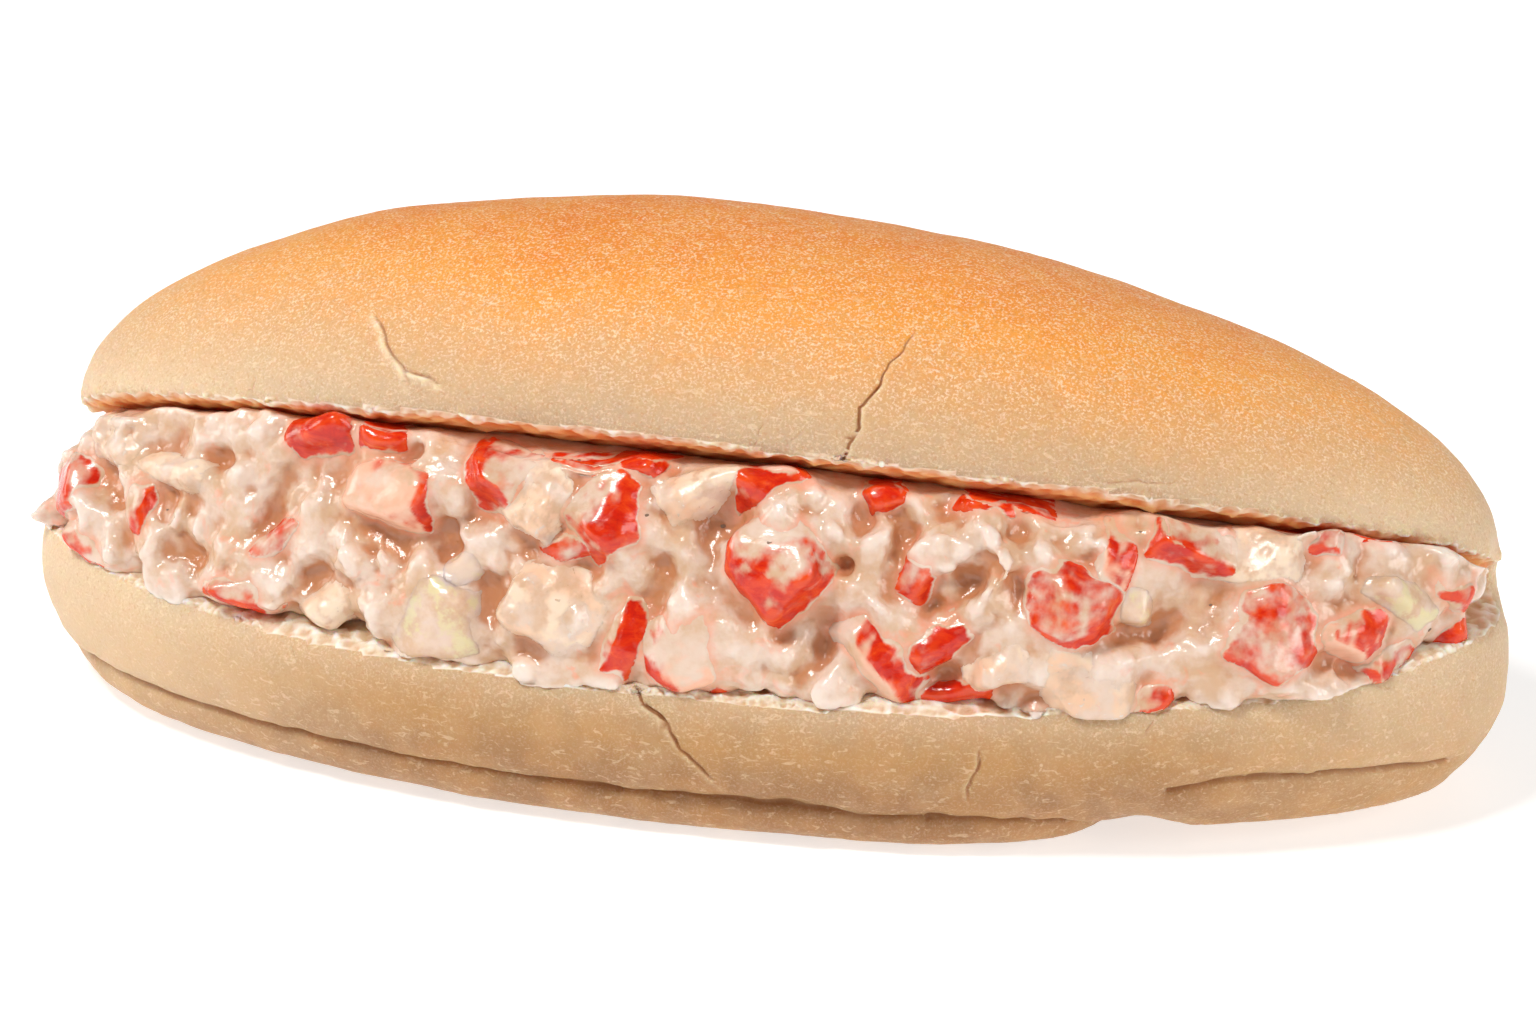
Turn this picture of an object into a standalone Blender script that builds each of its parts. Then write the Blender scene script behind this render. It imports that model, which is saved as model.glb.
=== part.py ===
"""Crab salad roll: a soft white roll, slit from the front and round both ends, and opened on
the uncut bread at its back, with a heap of dressed crab salad in the opening.

Two nodes: roll (crown, base and the bread that joins them, one piece) and crab_salad (the
filling: a core of dressed salad with its larger pieces fused on).

Metres, +Z up. X runs along the roll and the opening faces -Y. Shapes are worked out with the
origin in the middle of the base's cut face, and are stood on the table at the end.
"""

import math
import random

import bmesh
import bpy
from mathutils import Euler, Matrix, Vector, noise

MM = 0.001

# The roll, closed.
BASE_LENGTH = 0.190
CROWN_LENGTH = 0.186
CROWN_SHIFT = 0.001  # the crown sits this far towards the right tip
ROLL_WIDTH = 0.073
PLAN_POWER = 2.1  # 2 is an ellipse in plan, more is blunter
CROWN_HEIGHT = 0.0366
CROWN_POWER = 2.05  # the crown's outline from the front
CROWN_TAPER = 0.11  # the crown is this much lower at its right tip

# The uncut bread behind the hinge: a swell that fills the fold between crown and base.
STRAP_REACH = 0.080
STRAP_DEPTH = 0.0095
STRAP_HEIGHT = 0.0105
STRAP_OUT = 0.0019  # how far it stands out of the outline, and how far it sinks in at its ends
STRAP_SUNK = 0.0010

# How the roll is opened: the crown turns about the end of the cut and its left end rides up.
HINGE_Y = 0.0190
OPENING = math.radians(32.0)
TWIST = math.radians(2.0)
LEFT_TIP_LIFT = 0.0018  # the base's rim curls up towards its tips
RIGHT_TIP_LIFT = 0.0047
CROWN_TIP_LIFT = 0.0018  # and so does the crown's right tip

# The base's three lobes, each as (outward, up) in millimetres from its own outline.
SIDE_PROFILE = [(0, 0), (0.7, -1.2), (1.3, -3.5), (1.6, -6.5), (1.3, -9.5), (0.4, -12), (-1.6, -14.2),
                (-4.5, -15.8), (-9, -16.5)]
SOLE_PROFILE = [(-4, -11.5), (-1.4, -12.6), (-0.2, -14.4), (0, -16.2), (-0.9, -18.4), (-2.8, -20.2), (-6, -21.0)]
TOE_PROFILE = [(-4, -10), (-1.2, -11.2), (0, -13), (0.2, -15), (-0.8, -17), (-3, -18.2), (-7, -18.6)]
END_POWER = 12  # how blunt the sole's and the toe's ends are
SOLE_INSET = 0.0008
SOLE_ENDS = (-0.0935, 0.0545)
SOLE_DROP = 0.0024  # the fold over the sole runs this much lower where the roll is widest
TOE_INSET = 0.0020
TOE_ENDS = (0.0530, 0.0925)
BREAD_UNEVENNESS = 0.0006
BREAD_LUMP = 0.028  # across one swell of the crust

# Splits in the crust: on the crown as (x in mm, angle round the crown), on the side as (x, up) in mm.
CROWN_SPLITS = [
    [(16.0, -1), (16.8, 6), (16.2, 11), (17.8, 17), (17.6, 24), (19.0, 30), (19.4, 37)],
    [(-45.8, 22), (-43.4, 18.5), (-41.0, 14.5), (-39.6, 10), (-35.8, 6)],
]
SIDE_SPLITS = [
    [(-6, 0.4), (-4.6, -2.5), (-1.6, -6), (-0.6, -8.5), (2.0, -10.5), (3.8, -13)],
    [(35.8, -6), (35.2, -8.6), (34.2, -10.8), (34.0, -13)],
]
SPLIT_WIDTH = 0.0009
SPLIT_DEPTH = 0.0014

# Crab salad.
CRUMB_GAP = 0.0004  # between the salad and the bread
FOOT_SETBACK = 0.0035  # the salad's core stands this far behind the rim
HEAD_SETBACK = 0.0055  # and this far behind the crown's edge
FACE_SWELL = 0.0025  # its front bulges this much at half its height
THIN_END = 0.0018  # the wedge of salad stops where it would be thinner than this
LEFT_REACH = 0.0890
RIGHT_REACH = 0.0860
PIECE = 0.0074  # a chunk of the filler, across
STAND = 0.0012  # the chunks named below stand out this much more
PIECE_PITCH = 0.0080  # from one to the next
SEED = 11

# The chunks that stand out, as x in mm, height up the front, (long, high, deep) in mm and a turn.
STANDING_OUT = [
    (-84, 0.38, (8, 8, 7), 20), (-80, 0.12, (9, 5, 7), 15), (-75, 0.42, (5, 9, 6), -8),
    (-58, 0.17, (11, 8, 8), 12), (-48, 0.80, (8, 5, 7), -5), (-39, 0.60, (11, 7, 8), 20),
    (-33, 0.16, (12, 10, 9), 35), (-24, 0.74, (10, 8, 8), -25), (-14, 0.86, (10, 6, 8), 15),
    (-11, 0.62, (11, 10, 9), -35), (-9, 0.18, (5, 11, 7), -12), (3, 0.16, (15, 10, 9), 25),
    (8, 0.83, (9, 5, 7), -25), (10, 0.52, (12, 12, 9), 45), (23, 0.20, (6, 12, 7), 35),
    (30, 0.30, (10, 5, 7), -35), (38, 0.28, (11, 10, 8), 20), (43, 0.50, (13, 10, 9), 35),
    (47, 0.10, (12, 9, 9), -15), (49, 0.66, (6, 9, 7), -30), (57, 0.72, (11, 7, 8), -10),
    (67, 0.34, (13, 12, 9), 40), (73, 0.82, (10, 7, 8), 15), (77, 0.40, (8, 9, 7), -30),
    (82, 0.56, (12, 8, 8), 25), (86, 0.66, (7, 8, 7), 20),
]

CRUST_COLOUR = (0.86, 0.55, 0.26, 1.0)
SALAD_COLOUR = (0.90, 0.72, 0.60, 1.0)


def smooth_step(value):
    value = max(0.0, min(1.0, value))
    return value * value * (3 - 2 * value)


def plan_half_width(x, length=BASE_LENGTH):
    """Half the roll's width at x."""
    return ROLL_WIDTH / 2 * (1 - min(1.0, abs(2 * x / length)) ** PLAN_POWER) ** 0.5


def base_cut(x):
    """Height of the base's cut face, whose tips curl up."""
    u = 2 * x / BASE_LENGTH
    return (RIGHT_TIP_LIFT if u > 0 else LEFT_TIP_LIFT) * min(1.0, abs(u)) ** 3


def crown_placement():
    """Turns the crown about the end of the cut, then lifts its left end."""
    hinge = Matrix.Translation((0, HINGE_Y, 0))
    opened = hinge @ Matrix.Rotation(-OPENING, 4, "X") @ hinge.inverted()
    return Matrix.Rotation(TWIST, 4, "Y") @ opened


def crown_cut_curl(u):
    return CROWN_TIP_LIFT * max(0.0, u) ** 2.5


def crown_point(u, angle):
    """A point of the closed crown. Angle 0 is the front of its cut face and 90 degrees the ridge."""
    half_width = plan_half_width(BASE_LENGTH / 2 * u)
    height = CROWN_HEIGHT * (1 - abs(u) ** CROWN_POWER) ** 0.5 * (1 - CROWN_TAPER * max(0.0, u))
    x = CROWN_SHIFT + CROWN_LENGTH / 2 * u
    return Vector((x, -half_width * math.cos(angle), crown_cut_curl(u) + height * max(0.0, math.sin(angle))))


def crown_cut(x, y):
    """Height of the opened crown's cut face above a place in plan."""
    placement = crown_placement()
    normal = placement.to_3x3() @ Vector((0, 0, 1))
    origin = placement @ Vector((0, 0, 0))
    flat = origin.z - (normal.x * (x - origin.x) + normal.y * (y - origin.y)) / normal.z
    return flat + crown_cut_curl((x - CROWN_SHIFT) / (CROWN_LENGTH / 2)) / normal.z


def crown_edge(x):
    """Where the opened crown's front edge is at x."""
    u = max(-1.0, min(1.0, (x - CROWN_SHIFT) / (CROWN_LENGTH / 2)))
    return crown_placement() @ crown_point(u, 0.0)


def base_outline(outward, u):
    """A point of the base's outline moved outward: from the left tip, u = -1, to the right tip."""
    x = (BASE_LENGTH / 2 + outward) * u
    share = (1 - abs(u) ** PLAN_POWER) ** 0.5
    return x, (ROLL_WIDTH / 2 + outward) * share


def lobe_outline(ends, inset, outward, u):
    """As base_outline, for a lobe that runs under the base from one place to another and has round ends."""
    middle, half_length = (ends[0] + ends[1]) / 2, (ends[1] - ends[0]) / 2
    x = middle + (half_length + outward) * u
    share = (1 - abs(u) ** END_POWER) ** 0.5
    return x, max(0.0, plan_half_width(x) - inset + outward) * share


def link(name, bm):
    mesh = bpy.data.meshes.new(name)
    bmesh.ops.triangulate(bm, faces=[face for face in bm.faces if len(face.verts) > 3])
    bmesh.ops.recalc_face_normals(bm, faces=bm.faces)
    bm.to_mesh(mesh)
    bm.free()
    obj = bpy.data.objects.new(name, mesh)
    bpy.context.scene.collection.objects.link(obj)
    return obj


def ladder(bm, ring):
    """Fills a ring that is the same at the front as at the back with a row of strips across it."""
    count = len(ring)
    for i in range(count // 2):
        corners = [ring[i], ring[i + 1], ring[count - i - 1], ring[-i]]
        bm.faces.new(list(dict.fromkeys(corners)))


def stack(name, outline, profile, count, curl=None):
    """A closed body of level rings, one for each (outward, up) of the profile, bridged together."""
    bm = bmesh.new()
    rings = []
    top, bottom = profile[0][1] * MM, profile[-1][1] * MM
    for outward, up in profile:
        ring = []
        for i in range(count):
            u = -math.cos(2 * math.pi * i / count)
            x, half_width = outline(outward * MM, u)
            y = -half_width if i < count / 2 else half_width
            z = up * MM
            if curl:
                z += curl(x) * (z - bottom) / (top - bottom)
            ring.append(bm.verts.new((x, 0.0 if i in (0, count // 2) else y, z)))
        edges = [bm.edges.new((ring[i - 1], ring[i])) for i in range(count)]
        if rings:
            bmesh.ops.bridge_loops(bm, edges=rings[-1][1] + edges)
        rings.append((ring, edges))
    ladder(bm, rings[0][0])
    ladder(bm, rings[-1][0])
    return link(name, bm)


def crown_body(rings, segments):
    """The closed crown, from a UV sphere lying along X."""
    bm = bmesh.new()
    lying = Matrix.Rotation(math.pi / 2, 4, "Y")
    bmesh.ops.create_uvsphere(bm, u_segments=segments, v_segments=rings, radius=1.0, matrix=lying)
    for vert in bm.verts:
        unit = vert.co.normalized()
        vert.co = crown_point(max(-1.0, min(1.0, unit.x)), math.atan2(unit.z, -unit.y))
    return link("crown", bm)


def uneven(obj, level):
    """Pushes a crust about by smooth noise, as hand-shaped dough is, leaving the cut face at a level true."""
    for vert in obj.data.vertices:
        away = smooth_step(abs(vert.co.z - level(vert.co.x)) / (6 * MM))
        push = noise.noise_vector(vert.co / BREAD_LUMP + Vector((3.1, 0, 0))) * BREAD_UNEVENNESS
        vert.co += Vector((push.x * 0.5, push.y, push.z)) * away


def apply_modifiers(obj):
    """Makes the evaluated mesh the object's own, and drops its modifiers."""
    graph = bpy.context.evaluated_depsgraph_get()
    mesh = bpy.data.meshes.new_from_object(obj.evaluated_get(graph))
    obj.modifiers.clear()
    obj.data = mesh


def combine(obj, others, operation):
    """One Boolean on a collection of the other objects, applied, after which they are removed."""
    tools = bpy.data.collections.new("tools")
    bpy.context.scene.collection.children.link(tools)
    for other in others:
        bpy.context.scene.collection.objects.unlink(other)
        tools.objects.link(other)
    modifier = obj.modifiers.new(operation.lower(), "BOOLEAN")
    modifier.operation = operation
    modifier.operand_type = "COLLECTION"
    modifier.collection = tools
    modifier.solver = "EXACT"
    apply_modifiers(obj)
    for other in others:
        bpy.data.objects.remove(other)
    bpy.data.collections.remove(tools)


def keep_inside(obj, other):
    """Leaves only what is inside the other object, which is removed."""
    modifier = obj.modifiers.new("inside", "BOOLEAN")
    modifier.operation = "INTERSECT"
    modifier.object = other
    modifier.solver = "EXACT"
    apply_modifiers(obj)
    bpy.data.objects.remove(other)


def material(name, colour, roughness):
    made = bpy.data.materials.new(name)
    made.use_nodes = True
    surface = made.node_tree.nodes["Principled BSDF"]
    surface.inputs["Base Color"].default_value = colour
    surface.inputs["Roughness"].default_value = roughness
    surface.inputs["Metallic"].default_value = 0.0
    made.diffuse_color = colour
    return made


def make_crown():
    crown = crown_body(36, 40)
    uneven(crown, lambda x: crown_cut_curl((x - CROWN_SHIFT) / (CROWN_LENGTH / 2)))
    crown.data.transform(crown_placement())
    return crown


def make_base():
    """The side, the sole under it, and the toe at the right, which the notch parts from the sole."""
    side = stack("side", base_outline, SIDE_PROFILE, 72, base_cut)
    uneven(side, base_cut)
    sole = stack("sole", lambda out, u: lobe_outline(SOLE_ENDS, SOLE_INSET, out, u), SOLE_PROFILE, 60,
                 lambda x: -SOLE_DROP * smooth_step((x + 65 * MM) / (85 * MM)))
    toe = stack("toe", lambda out, u: lobe_outline(TOE_ENDS, TOE_INSET, out, u), TOE_PROFILE, 36)
    return [side, sole, toe]


def make_roll():
    roll = make_crown()
    roll.name = "roll"
    combine(roll, make_base() + [make_strap()], "UNION")
    combine(roll, crust_splits(), "DIFFERENCE")
    roll.data.materials.clear()
    roll.data.materials.append(material("roll_crust", CRUST_COLOUR, 0.55))
    return roll


def make_strap():
    """The uncut bread at the back: rings across the roll, from the left tip to the right."""
    bm = bmesh.new()
    rings = []
    for i in range(37):
        along = -math.cos(math.pi * (i + 0.5) / 37)
        x = STRAP_REACH * along
        outside = plan_half_width(x) + STRAP_OUT - (STRAP_OUT + STRAP_SUNK) * along ** 6
        depth = min(STRAP_DEPTH, (outside - HINGE_Y) / 2)
        height = STRAP_HEIGHT * depth / STRAP_DEPTH
        y = outside - depth
        turns = [2 * math.pi * k / 20 for k in range(20)]
        verts = [bm.verts.new((x, y + depth * math.cos(t), height * math.sin(t))) for t in turns]
        edges = [bm.edges.new((verts[k - 1], verts[k])) for k in range(20)]
        if rings:
            bmesh.ops.bridge_loops(bm, edges=rings[-1][1] + edges)
        rings.append((verts, edges))
    bm.faces.new(rings[0][0])
    bm.faces.new(rings[-1][0])
    return link("strap", bm)


def side_point(x, up):
    """A place on the base's side, which the profile's outward distance moves off its outline."""
    below = [step for step in SIDE_PROFILE if step[1] <= up][0]
    above = [step for step in SIDE_PROFILE if step[1] > up or step[1] == 0][-1]
    share = (up - below[1]) / ((above[1] - below[1]) or 1)
    outward = (below[0] + (above[0] - below[0]) * share) * MM
    return Vector((x, -plan_half_width(x) - outward, up * MM + base_cut(x) * (1 + up / 16.5)))


def crown_surface(x, degrees):
    u = (x - CROWN_SHIFT) / (CROWN_LENGTH / 2)
    rise = math.radians(degrees)
    below = Vector((0, 0, -0.3 * MM if degrees < 0 else 0))
    return crown_placement() @ (crown_point(u, max(0.0, rise)) + below)


def split(surface, path, heart):
    """A cutter for one split: a three-sided tube along the crust, pointed at both ends."""
    bm = bmesh.new()
    places = [surface(x * MM, along) for x, along in path]
    rings = []
    for i, place in enumerate(places):
        onward = places[min(i + 1, len(places) - 1)] - places[max(i - 1, 0)]
        outward = place - heart
        outward = (outward - outward.project(onward)).normalized()
        sideways = outward.cross(onward).normalized()
        size = 0.35 + 0.65 * math.sin(math.pi * (i + 0.6) / (len(places) + 0.2))
        half = SPLIT_WIDTH / 2 * size
        rings.append([bm.verts.new(p) for p in (
            place + sideways * half * 1.5 + outward * half, place - sideways * half * 1.5 + outward * half,
            place - outward * SPLIT_DEPTH * size)])
    for near, far in zip(rings, rings[1:]):
        for k in range(3):
            bm.faces.new((near[k - 1], near[k], far[k], far[k - 1]))
    bm.faces.new(rings[0])
    bm.faces.new(rings[-1])
    return link("split", bm)


def crust_splits():
    crown_heart = lambda path: crown_placement() @ Vector((path[0][0] * MM, 0, 8 * MM))
    side_heart = lambda path: Vector((path[0][0] * MM, 0, -8 * MM))
    splits = [split(crown_surface, path, crown_heart(path)) for path in CROWN_SPLITS]
    return splits + [split(side_point, path, side_heart(path)) for path in SIDE_SPLITS]


def salad_back(x):
    """How far back the wedge of salad goes at x."""
    front_room, slope = crown_cut(x, 0) - base_cut(x), crown_cut(x, 0) - crown_cut(x, 1)
    return (front_room - THIN_END - 2 * CRUMB_GAP) / slope


def face_point(x, up):
    """A place on the front of the salad's core, from its foot, up = 0, to its head under the crown."""
    foot = Vector((x, -plan_half_width(x) + FOOT_SETBACK, base_cut(x)))
    edge = crown_edge(x)
    head = Vector((x, edge.y + HEAD_SETBACK, edge.z))
    place = foot.lerp(head, up)
    place.y -= FACE_SWELL * math.sin(math.pi * up)
    return place


def salad_core():
    """Dressed salad from rim to crown: rings across the roll, bridged from the left tip to the right."""
    bm = bmesh.new()
    rings = []
    middle, half = (RIGHT_REACH - LEFT_REACH) / 2, (RIGHT_REACH + LEFT_REACH) / 2
    for i in range(33):
        x = middle - half * math.cos(math.pi * (i + 0.5) / 33)
        points = [face_point(x, k / 6) for k in range(7)]
        back = max(min(salad_back(x), plan_half_width(x) - 4 * MM), points[3].y + 3 * MM)
        points = [Vector((x, back, base_cut(x) - MM))] + points + [Vector((x, back, crown_cut(x, back) + MM))]
        verts = [bm.verts.new(p) for p in points]
        edges = [bm.edges.new((verts[k - 1], verts[k])) for k in range(len(verts))]
        if rings:
            bmesh.ops.bridge_loops(bm, edges=rings[-1][1] + edges)
        rings.append((verts, edges))
    bm.faces.new(rings[0][0])
    bm.faces.new(rings[-1][0])
    return link("crab_salad", bm)


def opening():
    """The room between the two cut faces, a crumb's gap inside each: what the salad is trimmed to."""
    bm = bmesh.new()
    count = 40
    rows = []
    for i in range(count + 1):
        x = -0.096 + 0.192 * i / count
        front, back = -0.055, salad_back(x)
        rows.append([bm.verts.new(p) for p in (
            (x, front, base_cut(x) + CRUMB_GAP), (x, front, crown_cut(x, front) - CRUMB_GAP),
            (x, back, crown_cut(x, back) - CRUMB_GAP), (x, back, base_cut(x) + CRUMB_GAP))])
    for left, right in zip(rows, rows[1:]):
        for k in range(4):
            bm.faces.new((left[k - 1], left[k], right[k], right[k - 1]))
    bm.faces.new(rows[0])
    bm.faces.new(rows[-1])
    return link("opening", bm)


def chunk(place, size, turn):
    """One chunk: a cut block, narrower at one end, long by high by deep."""
    bm = bmesh.new()
    bmesh.ops.create_cube(bm, size=1.0)
    for vert in bm.verts:
        vert.co.x *= 1.0 + 0.30 * vert.co.z
        vert.co.z *= 1.0 - 0.35 * vert.co.x
        vert.co.y *= 1.0 + 0.25 * vert.co.z
    long, high, deep = size
    turned = Matrix.Translation(place) @ turn.to_matrix().to_4x4()
    bm.transform(turned @ Matrix.Diagonal((long, deep, high, 1.0)))
    return link("chunk", bm)


def standing_chunks(chance):
    """The chunks that stand out of the front, each turned about the way it faces."""
    chunks = []
    for x, up, size, degrees in STANDING_OUT:
        place = face_point(x * MM, up) - Vector((0, STAND, 0))
        narrowing = plan_half_width(abs(x) * MM - 2 * MM) - plan_half_width(abs(x) * MM + 2 * MM)
        facing = math.atan2(4 * MM, narrowing)
        yaw = math.copysign(math.pi / 2 - facing, x)
        turn = Euler((chance.uniform(-0.25, 0.25), math.radians(degrees), yaw))
        chunks.append(chunk(place, [side * MM for side in size], turn))
    return chunks


def filler_chunks(chance):
    """Smaller chunks all over the front of the salad and round both ends."""
    chunks = []
    places = []
    columns = 20
    for column in range(columns + 1):
        along = math.sin(math.pi / 2 * (-1 + 2 * column / columns))
        x = along * ((RIGHT_REACH if along > 0 else LEFT_REACH) - 4 * MM)
        rows = max(1, round((crown_edge(x).z - base_cut(x)) / PIECE_PITCH))
        for row in range(rows):
            place = face_point(x, (row + chance.uniform(0.3, 0.7)) / rows)
            places.append(place + Vector((chance.uniform(-0.2, 0.2) * PIECE_PITCH, chance.uniform(0.5, 2.5) * MM, 0)))
    for end in (-LEFT_REACH, RIGHT_REACH):
        room = crown_cut(end, 0) - base_cut(end)
        for y in (-6, -2, 2, 6):
            height = base_cut(end) + room * chance.uniform(0.3, 0.6)
            places.append(Vector((end - math.copysign(2.5 * MM, end), y * MM, height)))
    for place in places:
        turn = Euler([chance.uniform(0, math.pi) for _ in range(3)])
        size = [PIECE * chance.uniform(0.6, 1.1) for _ in range(3)]
        chunks.append(chunk(place, size, turn))
    return chunks


def make_salad():
    salad = salad_core()
    chance = random.Random(SEED)
    combine(salad, standing_chunks(chance) + filler_chunks(chance), "UNION")
    keep_inside(salad, opening())
    salad.data.materials.clear()
    salad.data.materials.append(material("dressed_crab", SALAD_COLOUR, 0.3))
    return salad


def stand_on_table(objects):
    """Moves the whole sandwich so that the middle of its foot is the origin."""
    points = [vert.co for obj in objects for vert in obj.data.vertices]
    low = Vector(min(point[axis] for point in points) for axis in range(3))
    high = Vector(max(point[axis] for point in points) for axis in range(3))
    foot = Vector(((low.x + high.x) / 2, (low.y + high.y) / 2, low.z))
    for obj in objects:
        obj.data.transform(Matrix.Translation(-foot))


def shade(obj):
    obj.data.shade_smooth()
    obj.data.set_sharp_from_angle(angle=math.radians(35))


def clear_scene():
    for obj in list(bpy.data.objects):
        bpy.data.objects.remove(obj)


def main():
    clear_scene()
    noise.seed_set(SEED)
    pieces = [make_roll(), make_salad()]
    stand_on_table(pieces)
    for piece in pieces:
        shade(piece)


main()
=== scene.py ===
"""Crab salad roll: the bread, the dressing and the pieces of the salad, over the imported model.

Metres, +Z up. The roll lies along X and its opening faces -Y.
"""

import math
import random

import bpy
import numpy as np
from mathutils import Euler, Matrix, Vector, noise
from mathutils.bvhtree import BVHTree
from mathutils.kdtree import KDTree


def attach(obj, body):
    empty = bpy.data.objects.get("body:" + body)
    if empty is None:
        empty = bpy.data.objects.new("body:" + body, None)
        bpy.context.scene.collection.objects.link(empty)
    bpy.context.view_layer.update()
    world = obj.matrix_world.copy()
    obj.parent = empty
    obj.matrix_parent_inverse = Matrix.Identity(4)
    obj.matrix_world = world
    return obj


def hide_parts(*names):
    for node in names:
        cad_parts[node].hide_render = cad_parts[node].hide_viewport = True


MM = 0.001

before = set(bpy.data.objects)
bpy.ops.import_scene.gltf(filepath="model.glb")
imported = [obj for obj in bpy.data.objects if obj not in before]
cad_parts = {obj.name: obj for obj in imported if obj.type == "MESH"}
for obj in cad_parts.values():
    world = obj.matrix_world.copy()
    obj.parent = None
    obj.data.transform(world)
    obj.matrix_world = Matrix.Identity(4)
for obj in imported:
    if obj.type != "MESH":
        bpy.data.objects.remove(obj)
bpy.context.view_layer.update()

# The roll's measures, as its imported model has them. The cut frame's origin is the middle of the
# base's cut face.
CUT_MIDDLE = Vector((0, -0.0005, 0.0210))
BASE_LENGTH = 0.190
CROWN_LENGTH = 0.186
CROWN_SHIFT = 0.001
ROLL_WIDTH = 0.073
PLAN_POWER = 2.1
CROWN_HEIGHT = 0.0366
CROWN_POWER = 2.05
CROWN_TAPER = 0.11
HINGE_Y = 0.0190
OPENING = math.radians(32.0)
TWIST = math.radians(2.0)
LEFT_TIP_LIFT = 0.0018
RIGHT_TIP_LIFT = 0.0047
CROWN_TIP_LIFT = 0.0018
FOOT_SETBACK = 0.0035
HEAD_SETBACK = 0.0055
FACE_SWELL = 0.0025

SMOOTHING_LOSS = 0.35 * MM  # added before the crust is worked smooth, which takes it off again

# How fine each piece is.
BREAD_GRAIN = 1.55 * MM
CORE_GRAIN = 1.0 * MM
MASS_GRAIN = 0.5 * MM
SALAD_GRAIN = 0.44 * MM
CHUNK_GRAIN = 0.42 * MM
WELD = 0.01 * MM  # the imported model's corners are joined within this

# What lies within this of a cut face, and faces along it, is crumb.
CUT_DEPTH = 1.3 * MM
CUT_FACING = 0.75

# The salad's pieces.
SUNK = 1.4  # mm that a piece's middle lies behind the front, unless it stands out
LEAN_BACK = 8  # degrees
LEANS = (-24, 16, -10, 28, 6)  # degrees to one side, one piece after another
CLEAR_OF_NAMED = 4.0 * MM  # the filler keeps this far from the pieces listed below
CURDS_AND_SHREDS = 1000  # tries: those that would land on a listed piece are left out
PEPPER_SPECKS = 9

# How the bread holds the salad.
OVERHANG = 1.1 * MM  # how far down over the base's side a drip may reach
GIVE = 1.6 * MM  # how deep the salad is squeezed under the crown

# How the dressing holds its pieces.
REACH = 0.9 * MM  # a face that lies less than this under the dressing is drawn up to its surface
DIVE = 0.45 * MM  # how far under the dressing a piece's edges go


# ---------------------------------------------------------------- the roll's form, as numbers


def half_width(x):
    return ROLL_WIDTH / 2 * (1 - min(1.0, abs(2 * x / BASE_LENGTH)) ** PLAN_POWER) ** 0.5


def base_cut(x):
    u = 2 * x / BASE_LENGTH
    return (RIGHT_TIP_LIFT if u > 0 else LEFT_TIP_LIFT) * min(1.0, abs(u)) ** 3


def crown_placement():
    """Turns the crown about the end of the cut, then lifts its left end."""
    hinge = Matrix.Translation((0, HINGE_Y, 0))
    opened = hinge @ Matrix.Rotation(-OPENING, 4, "X") @ hinge.inverted()
    return Matrix.Rotation(TWIST, 4, "Y") @ opened


CROWN = crown_placement()
CROWN_CUT = CROWN @ Vector((0, 0, 0))
CROWN_UP = CROWN.to_3x3() @ Vector((0, 0, 1))


def crown_curl(u):
    return CROWN_TIP_LIFT * max(0.0, u) ** 2.5


def crown_point(x, angle):
    """A point of the opened crown. Angle 0 is its front edge and 90 degrees the ridge."""
    u = max(-1.0, min(1.0, (x - CROWN_SHIFT) / (CROWN_LENGTH / 2)))
    width = half_width(BASE_LENGTH / 2 * u)
    height = CROWN_HEIGHT * (1 - abs(u) ** CROWN_POWER) ** 0.5 * (1 - CROWN_TAPER * max(0.0, u))
    return CROWN @ Vector((CROWN_SHIFT + CROWN_LENGTH / 2 * u, -width * math.cos(angle),
                           crown_curl(u) + height * math.sin(angle)))


def crown_cut(x, y):
    """Height of the crown's cut face over a place in plan."""
    flat = CROWN_CUT.z - (CROWN_UP.x * (x - CROWN_CUT.x) + CROWN_UP.y * (y - CROWN_CUT.y)) / CROWN_UP.z
    return flat + crown_curl((x - CROWN_SHIFT) / (CROWN_LENGTH / 2)) / CROWN_UP.z


def face_point(x, up):
    """A place on the front of the salad, from its foot, up = 0, to its head under the crown."""
    foot = Vector((x, -half_width(x) + FOOT_SETBACK, base_cut(x)))
    edge = crown_point(x, 0)
    head = Vector((x, edge.y + HEAD_SETBACK, edge.z))
    place = foot.lerp(head, up)
    place.y -= FACE_SWELL * math.sin(math.pi * max(0.0, min(1.0, up)))
    return place + CUT_MIDDLE


def face_frame(x, up):
    """Turns a piece to lie in the salad's front: its X along the roll, Y up the front, Z outwards."""
    along = (face_point(x + MM, up) - face_point(x - MM, up)).normalized()
    rise = (face_point(x, up + 0.05) - face_point(x, up - 0.05)).normalized()
    out = along.cross(rise).normalized()
    turned = Matrix((along, out.cross(along), out)).transposed()
    return Matrix.Translation(face_point(x, up)) @ turned.to_4x4()


# ---------------------------------------------------------------- working a mesh


def only(obj):
    bpy.ops.object.select_all(action="DESELECT")
    obj.select_set(True)
    bpy.context.view_layer.objects.active = obj


def edit(obj):
    """Opens a mesh with all of it selected."""
    only(obj)
    bpy.ops.object.mode_set(mode="EDIT")
    bpy.ops.mesh.select_mode(type="VERT")
    bpy.ops.mesh.select_all(action="SELECT")


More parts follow.
